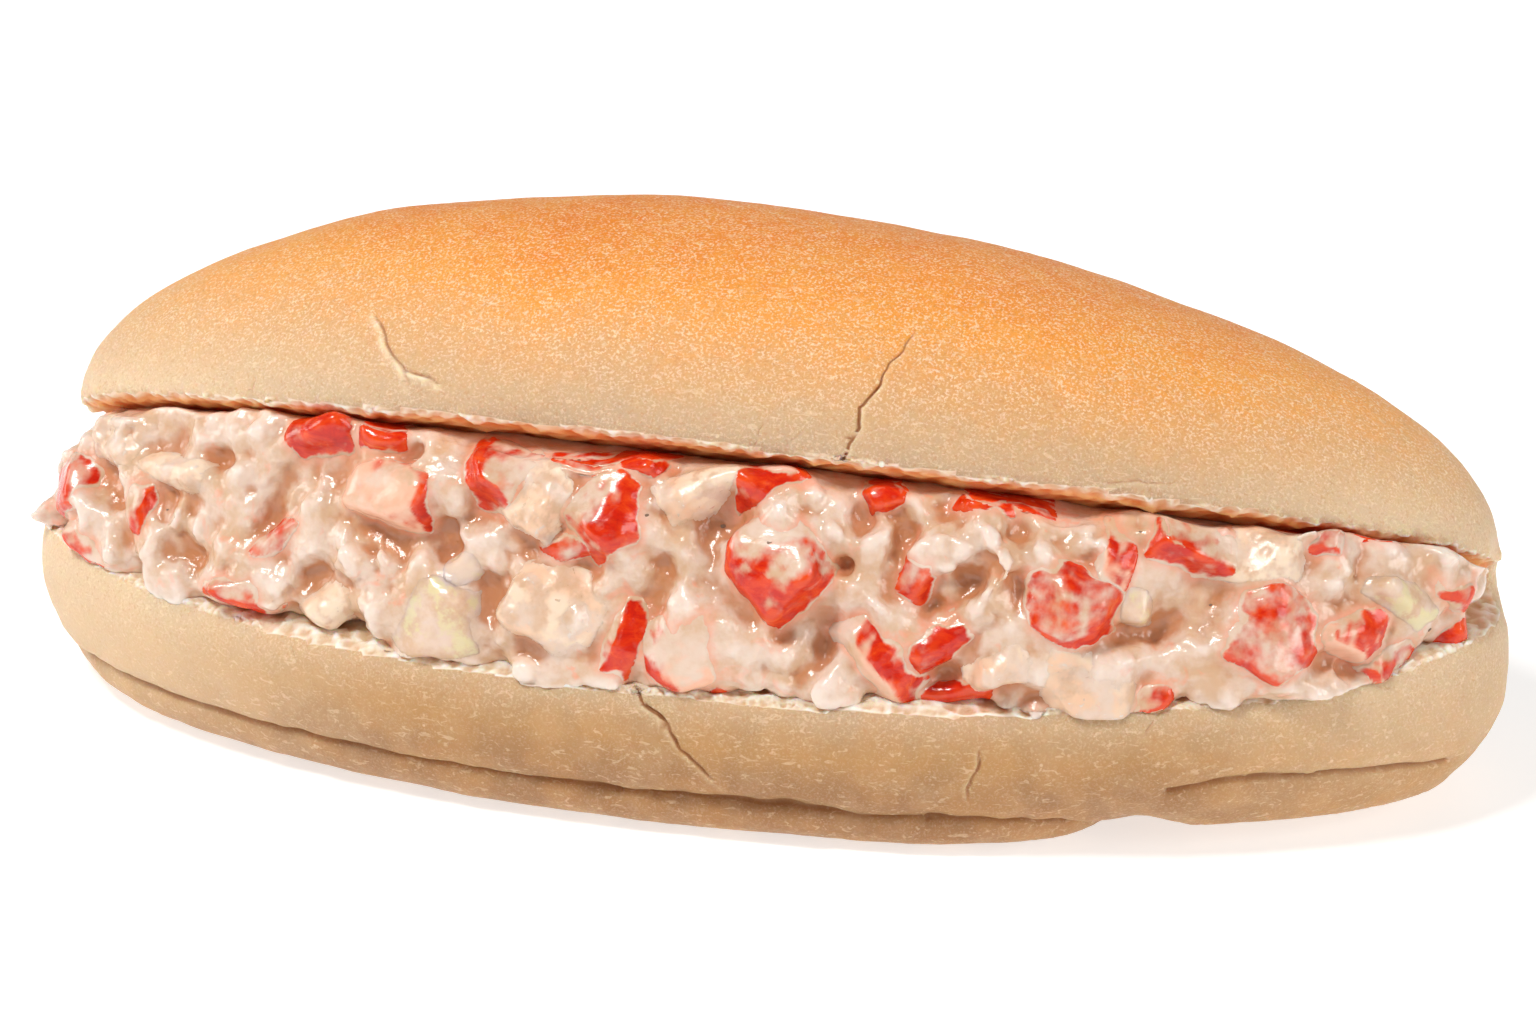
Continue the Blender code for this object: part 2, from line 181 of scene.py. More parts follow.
def pick_faces(obj, wanted):
    """Opens a mesh with only the wanted faces selected: one yes or no for each vertex decides."""
    only(obj)
    mesh = obj.data
    loops = np.empty(len(mesh.loops), np.int32)
    mesh.loops.foreach_get("vertex_index", loops)
    starts = np.empty(len(mesh.polygons), np.int32)
    mesh.polygons.foreach_get("loop_start", starts)
    chosen = np.add.reduceat(wanted[loops].astype(np.int32), starts) > 0
    mesh.vertices.foreach_set("select", np.zeros(len(mesh.vertices), bool))
    mesh.edges.foreach_set("select", np.zeros(len(mesh.edges), bool))
    mesh.polygons.foreach_set("select", chosen)
    bpy.context.tool_settings.mesh_select_mode = (False, False, True)
    bpy.ops.object.mode_set(mode="EDIT")
    bpy.ops.mesh.select_mode(type="FACE")


def done():
    bpy.ops.object.mode_set(mode="OBJECT")


def refine(obj, wanted):
    """Halves the faces that touch a wanted vertex."""
    pick_faces(obj, wanted)
    bpy.ops.mesh.subdivide(number_cuts=1, smoothness=0.0)
    done()


def finish_with(obj, kind, **settings):
    """Adds a modifier and applies it."""
    only(obj)
    modifier = obj.modifiers.new(kind.lower(), kind)
    for key, value in settings.items():
        setattr(modifier, key, value)
    bpy.ops.object.modifier_apply(modifier=modifier.name)


def remesh(obj, grain):
    finish_with(obj, "REMESH", mode="VOXEL", voxel_size=grain, adaptivity=0.0, use_smooth_shade=True)


def places(obj):
    co = np.empty(len(obj.data.vertices) * 3, np.float32)
    obj.data.vertices.foreach_get("co", co)
    return co.reshape(-1, 3).astype(float)


def directions(obj):
    normals = np.empty(len(obj.data.vertices) * 3, np.float32)
    obj.data.vertex_normals.foreach_get("vector", normals)
    return normals.reshape(-1, 3).astype(float)


def move_to(obj, co):
    obj.data.vertices.foreach_set("co", co.astype(np.float32).ravel())
    obj.data.update()


def write(obj, name, values):
    """Keeps one number for each vertex, for a material to read."""
    attribute = obj.data.attributes.get(name) or obj.data.attributes.new(name, "FLOAT", "POINT")
    attribute.data.foreach_set("value", np.asarray(values, np.float32))


def weigh(obj, name, values):
    """A vertex group with these weights."""
    group = obj.vertex_groups.new(name=name)
    for i in np.nonzero(values > 0.01)[0]:
        group.add([int(i)], float(values[i]), "REPLACE")


def grained(name, kind, size, depth=2):
    made = bpy.data.textures.new(name, kind)
    made.noise_scale = size
    if kind == "CLOUDS":
        made.noise_depth = depth
    else:
        made.distance_metric = "DISTANCE_SQUARED"  # rounds each cell into a dome
    return made


def roughen(obj, texture, strength, group=""):
    finish_with(obj, "DISPLACE", texture=texture, texture_coords="LOCAL", strength=strength,
                mid_level=0.5 if texture.type == "CLOUDS" else 0.15, vertex_group=group)


def join(pieces, name):
    only(pieces[0])
    for piece in pieces:
        piece.select_set(True)
    bpy.ops.object.join()
    pieces[0].name = name
    pieces[0].data.name = name
    return pieces[0]


def copied(obj, name, matrix=None):
    twin = bpy.data.objects.new(name, obj.data.copy())
    bpy.context.scene.collection.objects.link(twin)
    if matrix:
        twin.data.transform(matrix)
    return twin


def smooth_step(low, high, values):
    t = np.clip((values - low) / (high - low), 0, 1)
    return t * t * (3 - 2 * t)


# ---------------------------------------------------------------- bread

# Cracks in the crust, as (x in mm, degrees round the crown) or (x, up) in mm on the base's side;
# then how deep, how wide, and how much one lip is lifted, in mm.
CROWN_CRACKS = [
    ([(15.6, -2), (16.4, 3), (17.4, 7), (17.0, 11), (19.0, 16), (19.4, 21), (21.2, 27), (21.6, 31)],
     0.6, 0.18, 0.16),
    ([(-45.8, 22), (-43.8, 18.5), (-43.0, 14.5), (-40.4, 10), (-38.4, 4)], 0.32, 0.24, 0.50),
    ([(-39.9, 8.4), (-38.0, 8.6), (-36.0, 7.4), (-34.6, 5.2)], 0.28, 0.20, 0.45),
    ([(-61.0, 2), (-60.4, 5), (-61.8, 9)], 0.15, 0.15, 0.0),
    ([(5.0, 1), (5.8, 5), (5.0, 8)], 0.2, 0.15, 0.05),
    ([(9.0, 1), (9.6, 3), (11.0, 5)], 0.15, 0.15, 0.05),
    ([(46.0, 2), (49.0, 4), (54.0, 4), (56.0, 6)], 0.2, 0.15, 0.1),
]
SIDE_CRACKS = [
    ([(-7.0, 1.0), (-5.4, -1.6), (-2.6, -3.6), (-1.4, -6.4), (1.0, -8.8), (3.6, -12.0), (5.2, -14.0)],
     0.6, 0.18, 0.12),
    ([(35.8, -4.5), (35.2, -7.6), (34.2, -10.2), (34.0, -12.5)], 0.35, 0.15, 0.12),
    ([(56.0, -1.0), (55.0, -2.5), (56.0, -4.5)], 0.2, 0.15, 0.05),
    ([(-52.0, -1.5), (-51.0, -3.5)], 0.2, 0.15, 0.05),
]

# The fold over the toe, as (x, height over the table) in mm.
TOE_FOLD = [(57.5, 11.0), (60.0, 11.6), (66.0, 12.2), (72.0, 12.2), (78.0, 11.8), (84.0, 11.0), (90.0, 9.4)]


def side_place(x, up):
    """A place on the base's side, up mm above its cut."""
    outward = (0.4 + 1.3 * math.sin(math.pi * min(1.0, -up / 12.5))) * MM
    return Vector((x * MM, -half_width(x * MM) - outward, up * MM + base_cut(x * MM))) + CUT_MIDDLE


def crown_place(x, degrees):
    return crown_point(x * MM, math.radians(degrees)) + CUT_MIDDLE


def stepped(corners, count):
    """A line with this many steps from each of its corners to the next, its last corner left out."""
    return [a.lerp(b, k / count) for a, b in zip(corners[:-1], corners[1:]) for k in range(count)]


def crack_lines(bread):
    """Each crack as a wavering line of places on the crust, with its depth, width and lift."""
    surface = tree_of(bread)
    lines = []
    for place_on, cracks in ((crown_place, CROWN_CRACKS), (side_place, SIDE_CRACKS)):
        for path, depth, width, lift in cracks:
            corners = [place_on(*step) for step in path]
            steps = stepped(corners, 8) + corners[-1:]
            steps = [step + noise.noise_vector(step / (1.7 * MM)) * 0.4 * MM for step in steps]
            line = np.array([surface.find_nearest(step)[0] for step in steps])
            lines.append((line, depth * MM, width * MM, lift * MM))
    return lines


def distance_to_line(co, line):
    """How far each place is from a line of steps, and how far along the line, from 0 to 1, that is."""
    nearest = np.full(len(co), 1e9)
    along = np.zeros(len(co))
    for i, (a, b) in enumerate(zip(line[:-1], line[1:])):
        span = b - a
        t = np.clip(((co - a) @ span) / (span @ span), 0, 1)
        away = np.linalg.norm(co - (a + t[:, None] * span), axis=1)
        closer = away < nearest
        nearest[closer] = away[closer]
        along[closer] = ((i + t) / (len(line) - 1))[closer]
    return nearest, along


def cut_heights(co):
    """For each place, its height over the base's cut and over the crown's."""
    over_base = np.array([z - CUT_MIDDLE.z - base_cut(x) for x, y, z in co])
    over_crown = np.array([z - CUT_MIDDLE.z - crown_cut(x, y - CUT_MIDDLE.y) for x, y, z in co])
    return over_base, over_crown * CROWN_UP.z


def rim_lines():
    """The front edges of the two cut faces, round both tips to the hinge."""
    xs = [BASE_LENGTH / 2 * math.sin(math.pi / 2 * t / 60) for t in range(-60, 61)]
    base = [Vector((x, -half_width(x), base_cut(x))) + CUT_MIDDLE for x in xs]
    ends = CROWN_LENGTH / BASE_LENGTH
    crown = [crown_point(CROWN_SHIFT + x * ends, 0) + CUT_MIDDLE for x in xs]
    return [np.array(line) for line in (base, crown)]


def rim_distance(co):
    base, crown = rim_lines()
    return np.minimum(distance_to_line(co, base)[0], distance_to_line(co, crown)[0])


def bread_form():
    """The whole roll in one piece, as packed but rounder, and fine enough to take its crumb."""
    bread = copied(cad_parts["roll"], "bread")
    bread.data.materials.clear()
    edit(bread)
    bpy.ops.mesh.remove_doubles(threshold=WELD)
    bpy.ops.mesh.tris_convert_to_quads(face_threshold=math.radians(20), shape_threshold=math.radians(60))
    bpy.ops.mesh.select_all(action="DESELECT")
    bpy.ops.mesh.edges_select_sharp(sharpness=math.radians(42))
    bpy.ops.transform.edge_crease(value=1.0)
    done()
    spots = fold_places(bread)
    finish_with(bread, "SUBSURF", levels=2, render_levels=2)
    finish_with(bread, "DISPLACE", strength=SMOOTHING_LOSS, mid_level=0.0)
    remesh(bread, BREAD_GRAIN)
    return bread, spots


def hollow_place(tree, x, side):
    """The most hollow place of the base's side at x, in front or behind, and how hollow it is."""
    heights = [(3.0 + 0.25 * k) * MM for k in range(32)]
    reach = [tree.ray_cast(Vector((x, side * 0.08, z)), Vector((0, -side, 0)))[0] for z in heights]
    reach = [abs(hit.y) if hit else 0.0 for hit in reach]
    hollows = [((reach[k - 6] + reach[k + 6]) / 2 - reach[k], k) for k in range(6, 26) if min(reach) > 0]
    if not hollows:
        return None, 0.0
    depth, k = max(hollows)
    return Vector((x, side * reach[k], heights[k])), depth


def fold_places(bread):
    """Places along the fold between the base's side and what it rests on, and along the fold over the toe."""
    tree = tree_of(bread)
    spots = []
    for side in (-1, 1):
        last = None
        for x in range(-90, 92, 2):
            place, depth = hollow_place(tree, x * MM, side)
            if depth < 0.35 * MM or (side < 0 and x > 54):
                place = None
            if place and last and (place - last).length < 5 * MM:
                spots += stepped([last, place], 12)
            last = place
    toe = [Vector((x * MM, -half_width(x * MM) + CUT_MIDDLE.y, z * MM)) for x, z in TOE_FOLD]
    return spots + stepped(toe, 40)


def laid_on(bread, spots):
    """The nearest places to these on the bread's own surface, ready to measure from."""
    surface = tree_of(bread)
    tree = KDTree(len(spots))
    for i, spot in enumerate(spots):
        tree.insert(surface.find_nearest(spot)[0], i)
    tree.balance()
    return tree


def fold_distance(co, folds):
    """How far each place is from the folds, and how far above them."""
    found = [folds.find(p) for p in co]
    away = np.array([away for spot, index, away in found])
    return away, co[:, 2] - np.array([spot.z for spot, index, away in found])


def soften_crust(bread, spots):
    """Works the crust smooth, and leaves the two rims and the fold over the sole crisp."""
    co = places(bread)
    from_fold, above = fold_distance(co, laid_on(bread, spots))
    pick_faces(bread, (rim_distance(co) > 2.4 * MM) & (from_fold > 1.5 * MM))
    bpy.ops.mesh.vertices_smooth(factor=0.5, repeat=10)
    bpy.ops.mesh.select_all(action="SELECT")
    bpy.ops.mesh.vertices_smooth(factor=0.5, repeat=2)
    done()
    for reach in (2.3, 0.9):
        refine(bread, rim_distance(places(bread)) < reach * MM)
    co = places(bread)
    refine(bread, (rim_distance(co) < 0.42 * MM) & (co[:, 1] < -8 * MM))
    folds = laid_on(bread, spots)
    for reach in (1.8, 1.0, 0.5):
        co = places(bread)
        near = fold_distance(co, folds)[0] < reach * MM
        refine(bread, near & ((co[:, 1] < 0) | (reach > 0.8)))
    return folds


def near_crack(co, line):
    """The places near a crack, and how far from it and along it they are."""
    middle = line.mean(0)
    reach = np.linalg.norm(line - middle, axis=1).max() + 3 * MM
    near = np.nonzero(np.linalg.norm(co - middle, axis=1) < reach)[0]
    return near, *distance_to_line(co[near], line)


def refine_cracks(bread, cracks):
    """Faces fine enough to take a cleft, along each crack."""
    for reach in (1.3, 0.8, 0.42):
        co = places(bread)
        close = np.zeros(len(co), bool)
        for line, depth, width, lift in cracks:
            near, away, along = near_crack(co, line)
            close[near] |= away < reach * MM
        refine(bread, close)


def crack_crust(bread, cracks):
    """Opens each crack in the crust: a thin cleft that tapers off, with one lip lifted."""
    co, normals = places(bread), directions(bread)
    torn, flake = np.zeros(len(co)), np.zeros(len(co))
    push = np.zeros(len(co))
    for line, depth, width, lift in cracks:
        near, away, along = near_crack(co, line)
        taper = np.sqrt(1 - along ** 3) * (0.6 + 0.4 * smooth_step(0, 0.25, along))
        step = np.minimum((along * (len(line) - 1)).astype(int), len(line) - 2)
        across = np.cross(line[step + 1] - line[step], normals[near])
        lifted = ((co[near] - line[step]) * across).sum(1) > 0
        cleft = np.exp(-((away / width) ** 2)) * taper
        lip = np.exp(-(((away - 2.0 * width) / (2.2 * width)) ** 2)) * taper * lifted
        uneven = np.array([0.75 + 0.8 * noise.noise(Vector(p) / (1.3 * MM)) for p in co[near]])
        lip *= uneven
        push[near] += -depth * cleft * uneven + lift * lip
        torn[near] = np.maximum(torn[near], cleft * min(1.0, depth / (0.5 * MM)))
        flake[near] = np.maximum(flake[near], lip * min(1.0, lift / (0.4 * MM)))
    move_to(bread, co + normals * push[:, None])
    return torn, flake


def press_fold(bread, folds):
    """Draws the fold in under the swell of the side, and dimples the sole under it."""
    co, normals = places(bread), directions(bread)
    wavering = np.array([noise.noise_vector(Vector(p) / (4 * MM)) for p in co]) * 0.35 * MM
    away, above = fold_distance(co + wavering, folds)
    low = smooth_step(12 * MM, 6 * MM, co[:, 2]) * smooth_step(0.95, 0.7, -normals[:, 2])
    dimples = np.array([noise.noise(Vector(p) / (3.4 * MM)) for p in co]) * low
    crease = np.exp(-((away / (0.36 * MM)) ** 2))
    valley = np.exp(-((away / (1.1 * MM)) ** 2))
    swell = np.exp(-(((away / MM - 2.6) / 1.5) ** 2)) * np.where(above > 0, 0.35, 0.25)
    move_to(bread, co + normals * ((swell - 0.6 * crease - 0.3 * valley + 0.25 * dimples) * MM)[:, None])
    return crease


def bake_crust(bread, over_base, over_crown):
    """Writes how far the crust is baked, where it is pale, and where the base's side turns tan and is painted
    darker downwards as painted shade, for its material.
    """
    co, normals = places(bread), directions(bread)
    crown_bake = 1 - np.exp(-(np.maximum(over_crown, 0) / (14 * MM)) ** 1.2)
    left, right = smooth_step(-0.020, -0.086, co[:, 0]), smooth_step(0.048, 0.090, co[:, 0])
    crown_pale = (left + 0.9 * right) * np.exp(-np.maximum(over_crown, 0) / (11 * MM))
    left, right = smooth_step(-0.030, -0.084, co[:, 0]), smooth_step(0.052, 0.090, co[:, 0])
    base_pale = 0.9 * left * smooth_step(0, 11 * MM, co[:, 2])
    base_pale += 0.55 * right * smooth_step(6 * MM, 15 * MM, co[:, 2])
    write(bread, "pale", np.where(over_base > 0, crown_pale, base_pale))
    base_bake = 0.10 + 0.16 * smooth_step(0.0, 8 * MM, -over_base)
    under = smooth_step(-0.6, -0.97, normals[:, 2]) * (co[:, 2] < 3 * MM)
    bake = np.where(over_base > 2 * MM, crown_bake, base_bake)
    back = smooth_step(HINGE_Y - 8 * MM, HINGE_Y + 6 * MM, co[:, 1])
    hinge = np.maximum(crown_bake * smooth_step(-2 * MM, 6 * MM, over_base), 0.42)
    write(bread, "bake", np.maximum(bake * (1 - back) + hinge * back, 0.85 * under))
    tips = smooth_step(0.050, 0.092, np.abs(co[:, 0]))
    # The base's side turns tan and is painted darker downwards, painted shade for less light there; less of
    # it at the tips and the back.
    tan_and_shade = smooth_step(-1.5 * MM, 14 * MM, -over_base) * (1 - 0.5 * tips)
    write(bread, "tan_and_shade", tan_and_shade * (1 - 0.4 * back))


def bread_finish(bread, folds, cracks):
    """Crumb on the cut faces and along the rims, an uneven crust, and what the material reads."""
    # Along the fold's crease the crust is painted dark: a painted shadow in the crease.
    write(bread, "fold", press_fold(bread, folds))
    torn, flake = crack_crust(bread, cracks)
    # Where each crack's cleft is, painted dark brown: partly the torn crust, partly painted shade in the
    # cleft.
    write(bread, "torn", torn)
    write(bread, "flake", flake)
    co, normals = places(bread), directions(bread)
    over_base, over_crown = cut_heights(co)
    on_base = (np.abs(over_base) < CUT_DEPTH) & (normals[:, 2] > CUT_FACING)
    on_crown = (np.abs(over_crown) < CUT_DEPTH) & (normals @ np.array(CROWN_UP) < -CUT_FACING)
    from_rim = rim_distance(co)
    rim = np.exp(-((from_rim / (0.6 * MM)) ** 2))
    crumb = np.maximum(((on_base | on_crown) & (co[:, 1] < HINGE_Y)).astype(float), rim)
    weigh(bread, "rim_crumb", rim)
    weigh(bread, "open_crumb", crumb)
    write(bread, "crumb", crumb)
    # Deep in the opening, behind the crown's rim, the crumb is painted a warm brown shade.
    write(bread, "deep", smooth_step(0.5 * MM, 2.5 * MM, from_rim) * (over_base > 1.5 * MM))
    bake_crust(bread, over_base, over_crown)
    roughen(bread, grained("grains", "VORONOI", 0.9 * MM), -0.7 * MM, "rim_crumb")
    roughen(bread, grained("teeth", "CLOUDS", 0.6 * MM, 2), 0.7 * MM, "rim_crumb")
    roughen(bread, grained("pores", "VORONOI", 1.9 * MM), 0.8 * MM, "open_crumb")
    roughen(bread, grained("crumb", "CLOUDS", 0.7 * MM, 3), 0.3 * MM, "open_crumb")
    pick_faces(bread, rim > 0.3)
    bpy.ops.mesh.vertices_smooth(factor=0.5, repeat=1)
    done()
    roughen(bread, grained("dough", "CLOUDS", 16 * MM, 1), 0.8 * MM)
    roughen(bread, grained("crust", "CLOUDS", 2.4 * MM, 3), 0.14 * MM)
    # How convex the crumb is: its colour is painted darker in its hollows as painted shade and lighter on its
    # ridges as painted highlight.
    write(bread, "crumb_light_and_shade", np.clip(0.5 + lie_of(bread, 10) / (0.5 * MM), 0, 1))
    return bread


def make_bread():
    bread, spots = bread_form()
    folds = soften_crust(bread, spots)
    cracks = crack_lines(bread)
    refine_cracks(bread, cracks)
    return bread_finish(bread, folds, cracks)


# ---------------------------------------------------------------- the salad's pieces

# Pieces of crab stick: x in mm, height up the front, (long, high, deep) in mm, turn and tilt in degrees,
# its cut, how far it stands out in mm, where the dressing lies on it, and its red side.
CRAB = [
    (-87, 0.36, (10, 8, 7), 20, 0, "block", 0.2, "front", ""),
    (-83, 0.05, (9, 5, 7), -18, 10, "block", 0.9, "top", ""),
    (-74.5, 0.40, (4, 9, 6), -8, 10, "strip", 0.7, "left", ""),
    (-59, 0.15, (10.5, 7, 8), -8, 8, "wedge", 1.2, "top", ""),
    (-55, 0.36, (9, 3, 6), 42, 0, "strip", 0.3, "front", ""),
    (-49, 0.81, (9, 4.5, 8), 4, 20, "block", 0.8, "", ""),
    (-41.5, 0.85, (6, 5.5, 6), 10, 10, "block", 1.2, "", ""),
    (-39, 0.62, (11, 7, 8), -12, 5, "block", 1.0, "front", "right"),
    (-25, 0.74, (9.5, 8, 8), -20, 14, "kite", 1.5, "right", ""),
    (-15, 0.84, (9, 6, 8), -14, 12, "wedge", 0.6, "front", ""),
    (-8, 0.84, (7, 4.5, 7), -10, 10, "block", 0.2, "", ""),
    (-11, 0.64, (9.5, 9.5, 8), -38, 10, "kite", 1.6, "left", ""),
    (-15.5, 0.52, (8, 3.4, 4), 24, 0, "strip", 1.8, "front", ""),
    (-9, 0.18, (4.5, 11, 7), -14, 0, "strip", 1.0, "left", ""),
    (-0.5, 0.15, (11.5, 9.5, 8), 26, 6, "kite", 1.0, "top", "left"),
    (2.6, 0.0, (5, 3, 5), -8, 0, "block", 1.0, "", ""),
    (8, 0.81, (9, 4.8, 7), 22, 10, "strip", 0.9, "", ""),
    (10, 0.53, (11, 11, 9), 42, 8, "kite", 1.9, "top", ""),
    (23, 0.17, (6, 13, 7), 36, 0, "strip", 1.1, "left", "right"),
    (22, 0.84, (6, 4.5, 6), 30, 0, "block", 0.0, "", ""),
    (27, 0.55, (4, 8, 5), -28, 0, "strip", 0.8, "front", ""),
    (30, 0.28, (10, 4.5, 7), 32, 0, "strip", 0.7, "", ""),
    (32, 0.04, (9, 2.6, 5), 12, 0, "strip", 0.8, "", ""),
    (34, 0.84, (7, 5, 6), -10, 0, "block", 0.4, "", ""),
    (39, 0.86, (7, 4, 6), 0, 0, "block", -0.2, "", ""),
    (44, 0.47, (12, 9, 9), -28, 5, "kite", 1.3, "front", ""),
    (49, 0.66, (5, 9, 7), -15, 0, "strip", 0.9, "left", "right"),
    (55, 0.0, (5, 4, 5), 0, 0, "block", 2.2, "top", ""),
    (58, 0.73, (11, 6, 8), -4, 8, "block", 1.3, "top", ""),
    (68, 0.32, (11, 11, 9), -32, 5, "kite", 1.6, "front", ""),
    (72, 0.83, (8, 5.5, 7), -12, 5, "block", 1.2, "front", ""),
    (77, 0.38, (8, 9, 7), -22, 0, "wedge", 1.2, "left", "right"),
    (77, 0.88, (10, 5, 7), -8, 10, "block", 0.4, "right", ""),
    (81, 0.03, (8, 4.5, 6), 16, 0, "block", 0.9, "top", ""),
    (87.0, 0.66, (7, 8, 6), -18, 0, "block", 0.8, "left", ""),
    (89, 0.06, (5, 4, 4), 10, 0, "block", 0.6, "", ""),
]

# Pale pieces: x, height up the front, size, turn, tilt, cut and stand-out, as above.
PALE = [
    (-20, 0.68, (9, 9, 7), -30, 8, "block", 1.5),
    (-17.5, 0.27, (12, 11, 8), -22, 12, "block", 0.9),
    (-0.5, 0.79, (12, 6, 7), 38, 10, "wedge", 1.2),
    (38, 0.28, (11, 9, 7), 12, 0, "wedge", 1.4),
    (47, 0.10, (11, 9, 8), -12, 0, "block", 1.2),
    (66, 0.70, (11, 7, 7), -10, 5, "block", 0.9),
    (-80, 0.66, (9, 5, 6), -14, 8, "block", 0.8),
    (-70, 0.58, (12, 4, 6), -4, 5, "strip", 0.9),
    (-47, 0.12, (8, 5, 6), 40, 0, "strip", 0.8),
]

# Bits of celery: as the pale pieces.
GREENS = [
    (-33, 0.16, (12, 10, 8), 8, 0, "kite", 1.2),
    (-29.5, 0.36, (6, 3.4, 4), 35, 0, "block", 1.5),
    (52, 0.48, (5, 5, 5), -8, 0, "block", 0.8),
    (82.5, 0.55, (10.5, 7, 6), -30, 0, "wedge", 1.3),
]


def unit_cut(cut):
    """One cut of crab stick a unit across: a block with corners sliced off."""
    bpy.ops.mesh.primitive_cube_add(size=1, location=(0, 0, 0))
    piece = bpy.context.object
    piece.name = "cut_" + cut
    slices = {
        "block": [((0.42, 0.38, 0), (1, 0.8, 0.3)), ((-0.44, -0.36, 0.1), (-0.9, -1, 0.4)),
                  ((0, 0.4, 0.42), (0.1, 0.6, 1))],
        "wedge": [((0.05, 0.1, 0), (0.75, 1, 0.15)), ((-0.4, -0.42, 0.2), (-1, -0.8, 0.5)),
                  ((0, 0, 0.44), (0.1, 0.4, 1))],
        "kite": [((0.38, 0.40, 0), (1, 1, 0.1)), ((0.3, -0.2, 0.36), (0.8, -0.35, 1)),
                 ((-0.2, 0.2, 0.42), (-0.6, 0.5, 1)), ((-0.46, -0.30, 0), (-1, -0.5, 0.2))],
        "strip": [((0.47, 0.2, 0), (1, 0.35, 0.1)), ((-0.47, -0.2, 0), (-1, -0.35, 0.2)),
                  ((0, 0.32, 0.34), (0, 0.8, 1)), ((0, -0.36, 0.36), (0.05, -0.8, 1))],
    }
    for place, away in slices[cut]:
        edit(piece)
        bpy.ops.mesh.bisect(plane_co=place, plane_no=Vector(away).normalized(), use_fill=True,
                            clear_outer=True)
        done()
    return piece


def make_cuts():
    return {cut: unit_cut(cut) for cut in ("block", "wedge", "kite", "strip")}


def laid(x, up, turn, tilt, lean, stand):
    """Where a piece lies: turned in the salad's front, tilted back, leant to one side, and standing out."""
    return (face_frame(x * MM, up) @ Matrix.Translation((0, 0, (stand - SUNK) * MM))
            @ Matrix.Rotation(math.radians(-tilt), 4, "X") @ Matrix.Rotation(math.radians(lean), 4, "Y")
            @ Matrix.Rotation(math.radians(turn), 4, "Z"))


def shaped(cuts, entry, index):
    """A piece at its own size, its edges softened, fibrous, and laid in the salad."""
    x, up, size, turn, tilt, cut, stand = entry[:7]
    long, high, deep = (s * MM for s in size)
    flip = Matrix.Diagonal((-1 if index % 2 else 1, 1, 1, 1))
    piece = copied(cuts[cut], "piece", Matrix.Diagonal((long, high, deep, 1)) @ flip)
    edit(piece)
    if index % 2:
        bpy.ops.mesh.flip_normals()
    bpy.ops.mesh.bevel(offset=min(size) * 0.07 * MM, segments=2, affect="EDGES")
    done()
    remesh(piece, CHUNK_GRAIN)
    finish_with(piece, "SMOOTH", factor=0.5, iterations=2)
    piece.data.transform(laid(x, up, turn, tilt + LEAN_BACK, LEANS[index % len(LEANS)], stand + 0.3))
    roughen(piece, bpy.data.textures["flesh"], 1.1 * MM)
    roughen(piece, bpy.data.textures["lumps"], 0.3 * MM)
    return piece


# Which way the filmed side of a piece faces, and how thick the film is there.
FILMS = {
    "": (Vector((0, 1, 0)), 0.0),
    "top": (Vector((0, 1, 0.45)), 0.7),
    "front": (Vector((0.1, 0.3, 1)), 0.36),
    "left": (Vector((-1, 0.4, 0.5)), 0.6),
    "right": (Vector((1, 0.4, 0.5)), 0.6),
}
# Which way the red side of a piece faces: one with none named is red all round.
SKINS = {"": None, "left": Vector((-1, 0, 0)), "right": Vector((1, 0.2, 0))}


def towards(piece, entry, away):
    """How far each place of a piece faces a direction given in the salad's front, from -1 to 1."""
    outward = face_frame(entry[0] * MM, entry[1]).to_3x3() @ away.normalized()
    return directions(piece) @ np.array(outward)


def ridges(obj):
    """Where a piece is sharply convex, from 0 to 1: its edges, which shed their dressing."""
    co, normals = places(obj), directions(obj)
    edges = np.empty(len(obj.data.edges) * 2, np.int32)
    obj.data.edges.foreach_get("vertices", edges)
    a, b = edges.reshape(-1, 2).T
    count = np.bincount(np.concatenate([a, b]), minlength=len(co))
    total = np.zeros_like(co)
    for near, far in ((a, b), (b, a)):
        np.add.at(total, near, co[far])
    bend = ((co - total / count[:, None]) * normals).sum(1)
    for step in range(3):
        spread = bend.copy()
        for near, far in ((a, b), (b, a)):
            np.add.at(spread, near, bend[far])
        bend = spread / (count + 1)
    return smooth_step(0.012 * MM, 0.045 * MM, bend)


def colour_crab(piece, entry):
    """Writes where a piece of crab is red, and how thickly it is filmed: least on its edges."""
    skin, (film, thick) = SKINS[entry[8]], FILMS[entry[7]]
    edge = ridges(piece)
    red = np.ones(len(edge)) if skin is None else smooth_step(-0.05, 0.35, towards(piece, entry, skin))
    write(piece, "red", red)
    write(piece, "film", 0.2 + thick * smooth_step(0.1, 0.8, towards(piece, entry, film)) - 0.2 * edge)
    write(piece, "edge", edge)


def make_pieces(cuts):
    grained("flesh", "CLOUDS", 3.4 * MM, 2)
    grained("lumps", "CLOUDS", 1.3 * MM, 2)
    joined, coats = [], []
    for name, entries in (("crab_sticks", CRAB), ("crab_flesh", PALE), ("celery", GREENS)):
        pieces = []
        for i, entry in enumerate(entries):
            pieces.append(shaped(cuts, entry, i))
            if entries is CRAB:
                colour_crab(pieces[-1], entry)
            coats.append(copied(pieces[-1], "coat"))
        joined.append(join(pieces, name))
    return joined, coats


def unit_curd():
    """One curd of dressing: a lump a unit across, drawn out and dented."""
    bpy.ops.mesh.primitive_ico_sphere_add(subdivisions=3, radius=0.5, location=(0, 0, 0))
    curd = bpy.context.object
    roughen(curd, grained("curd", "CLOUDS", 0.55, 1), 0.55)
    return curd


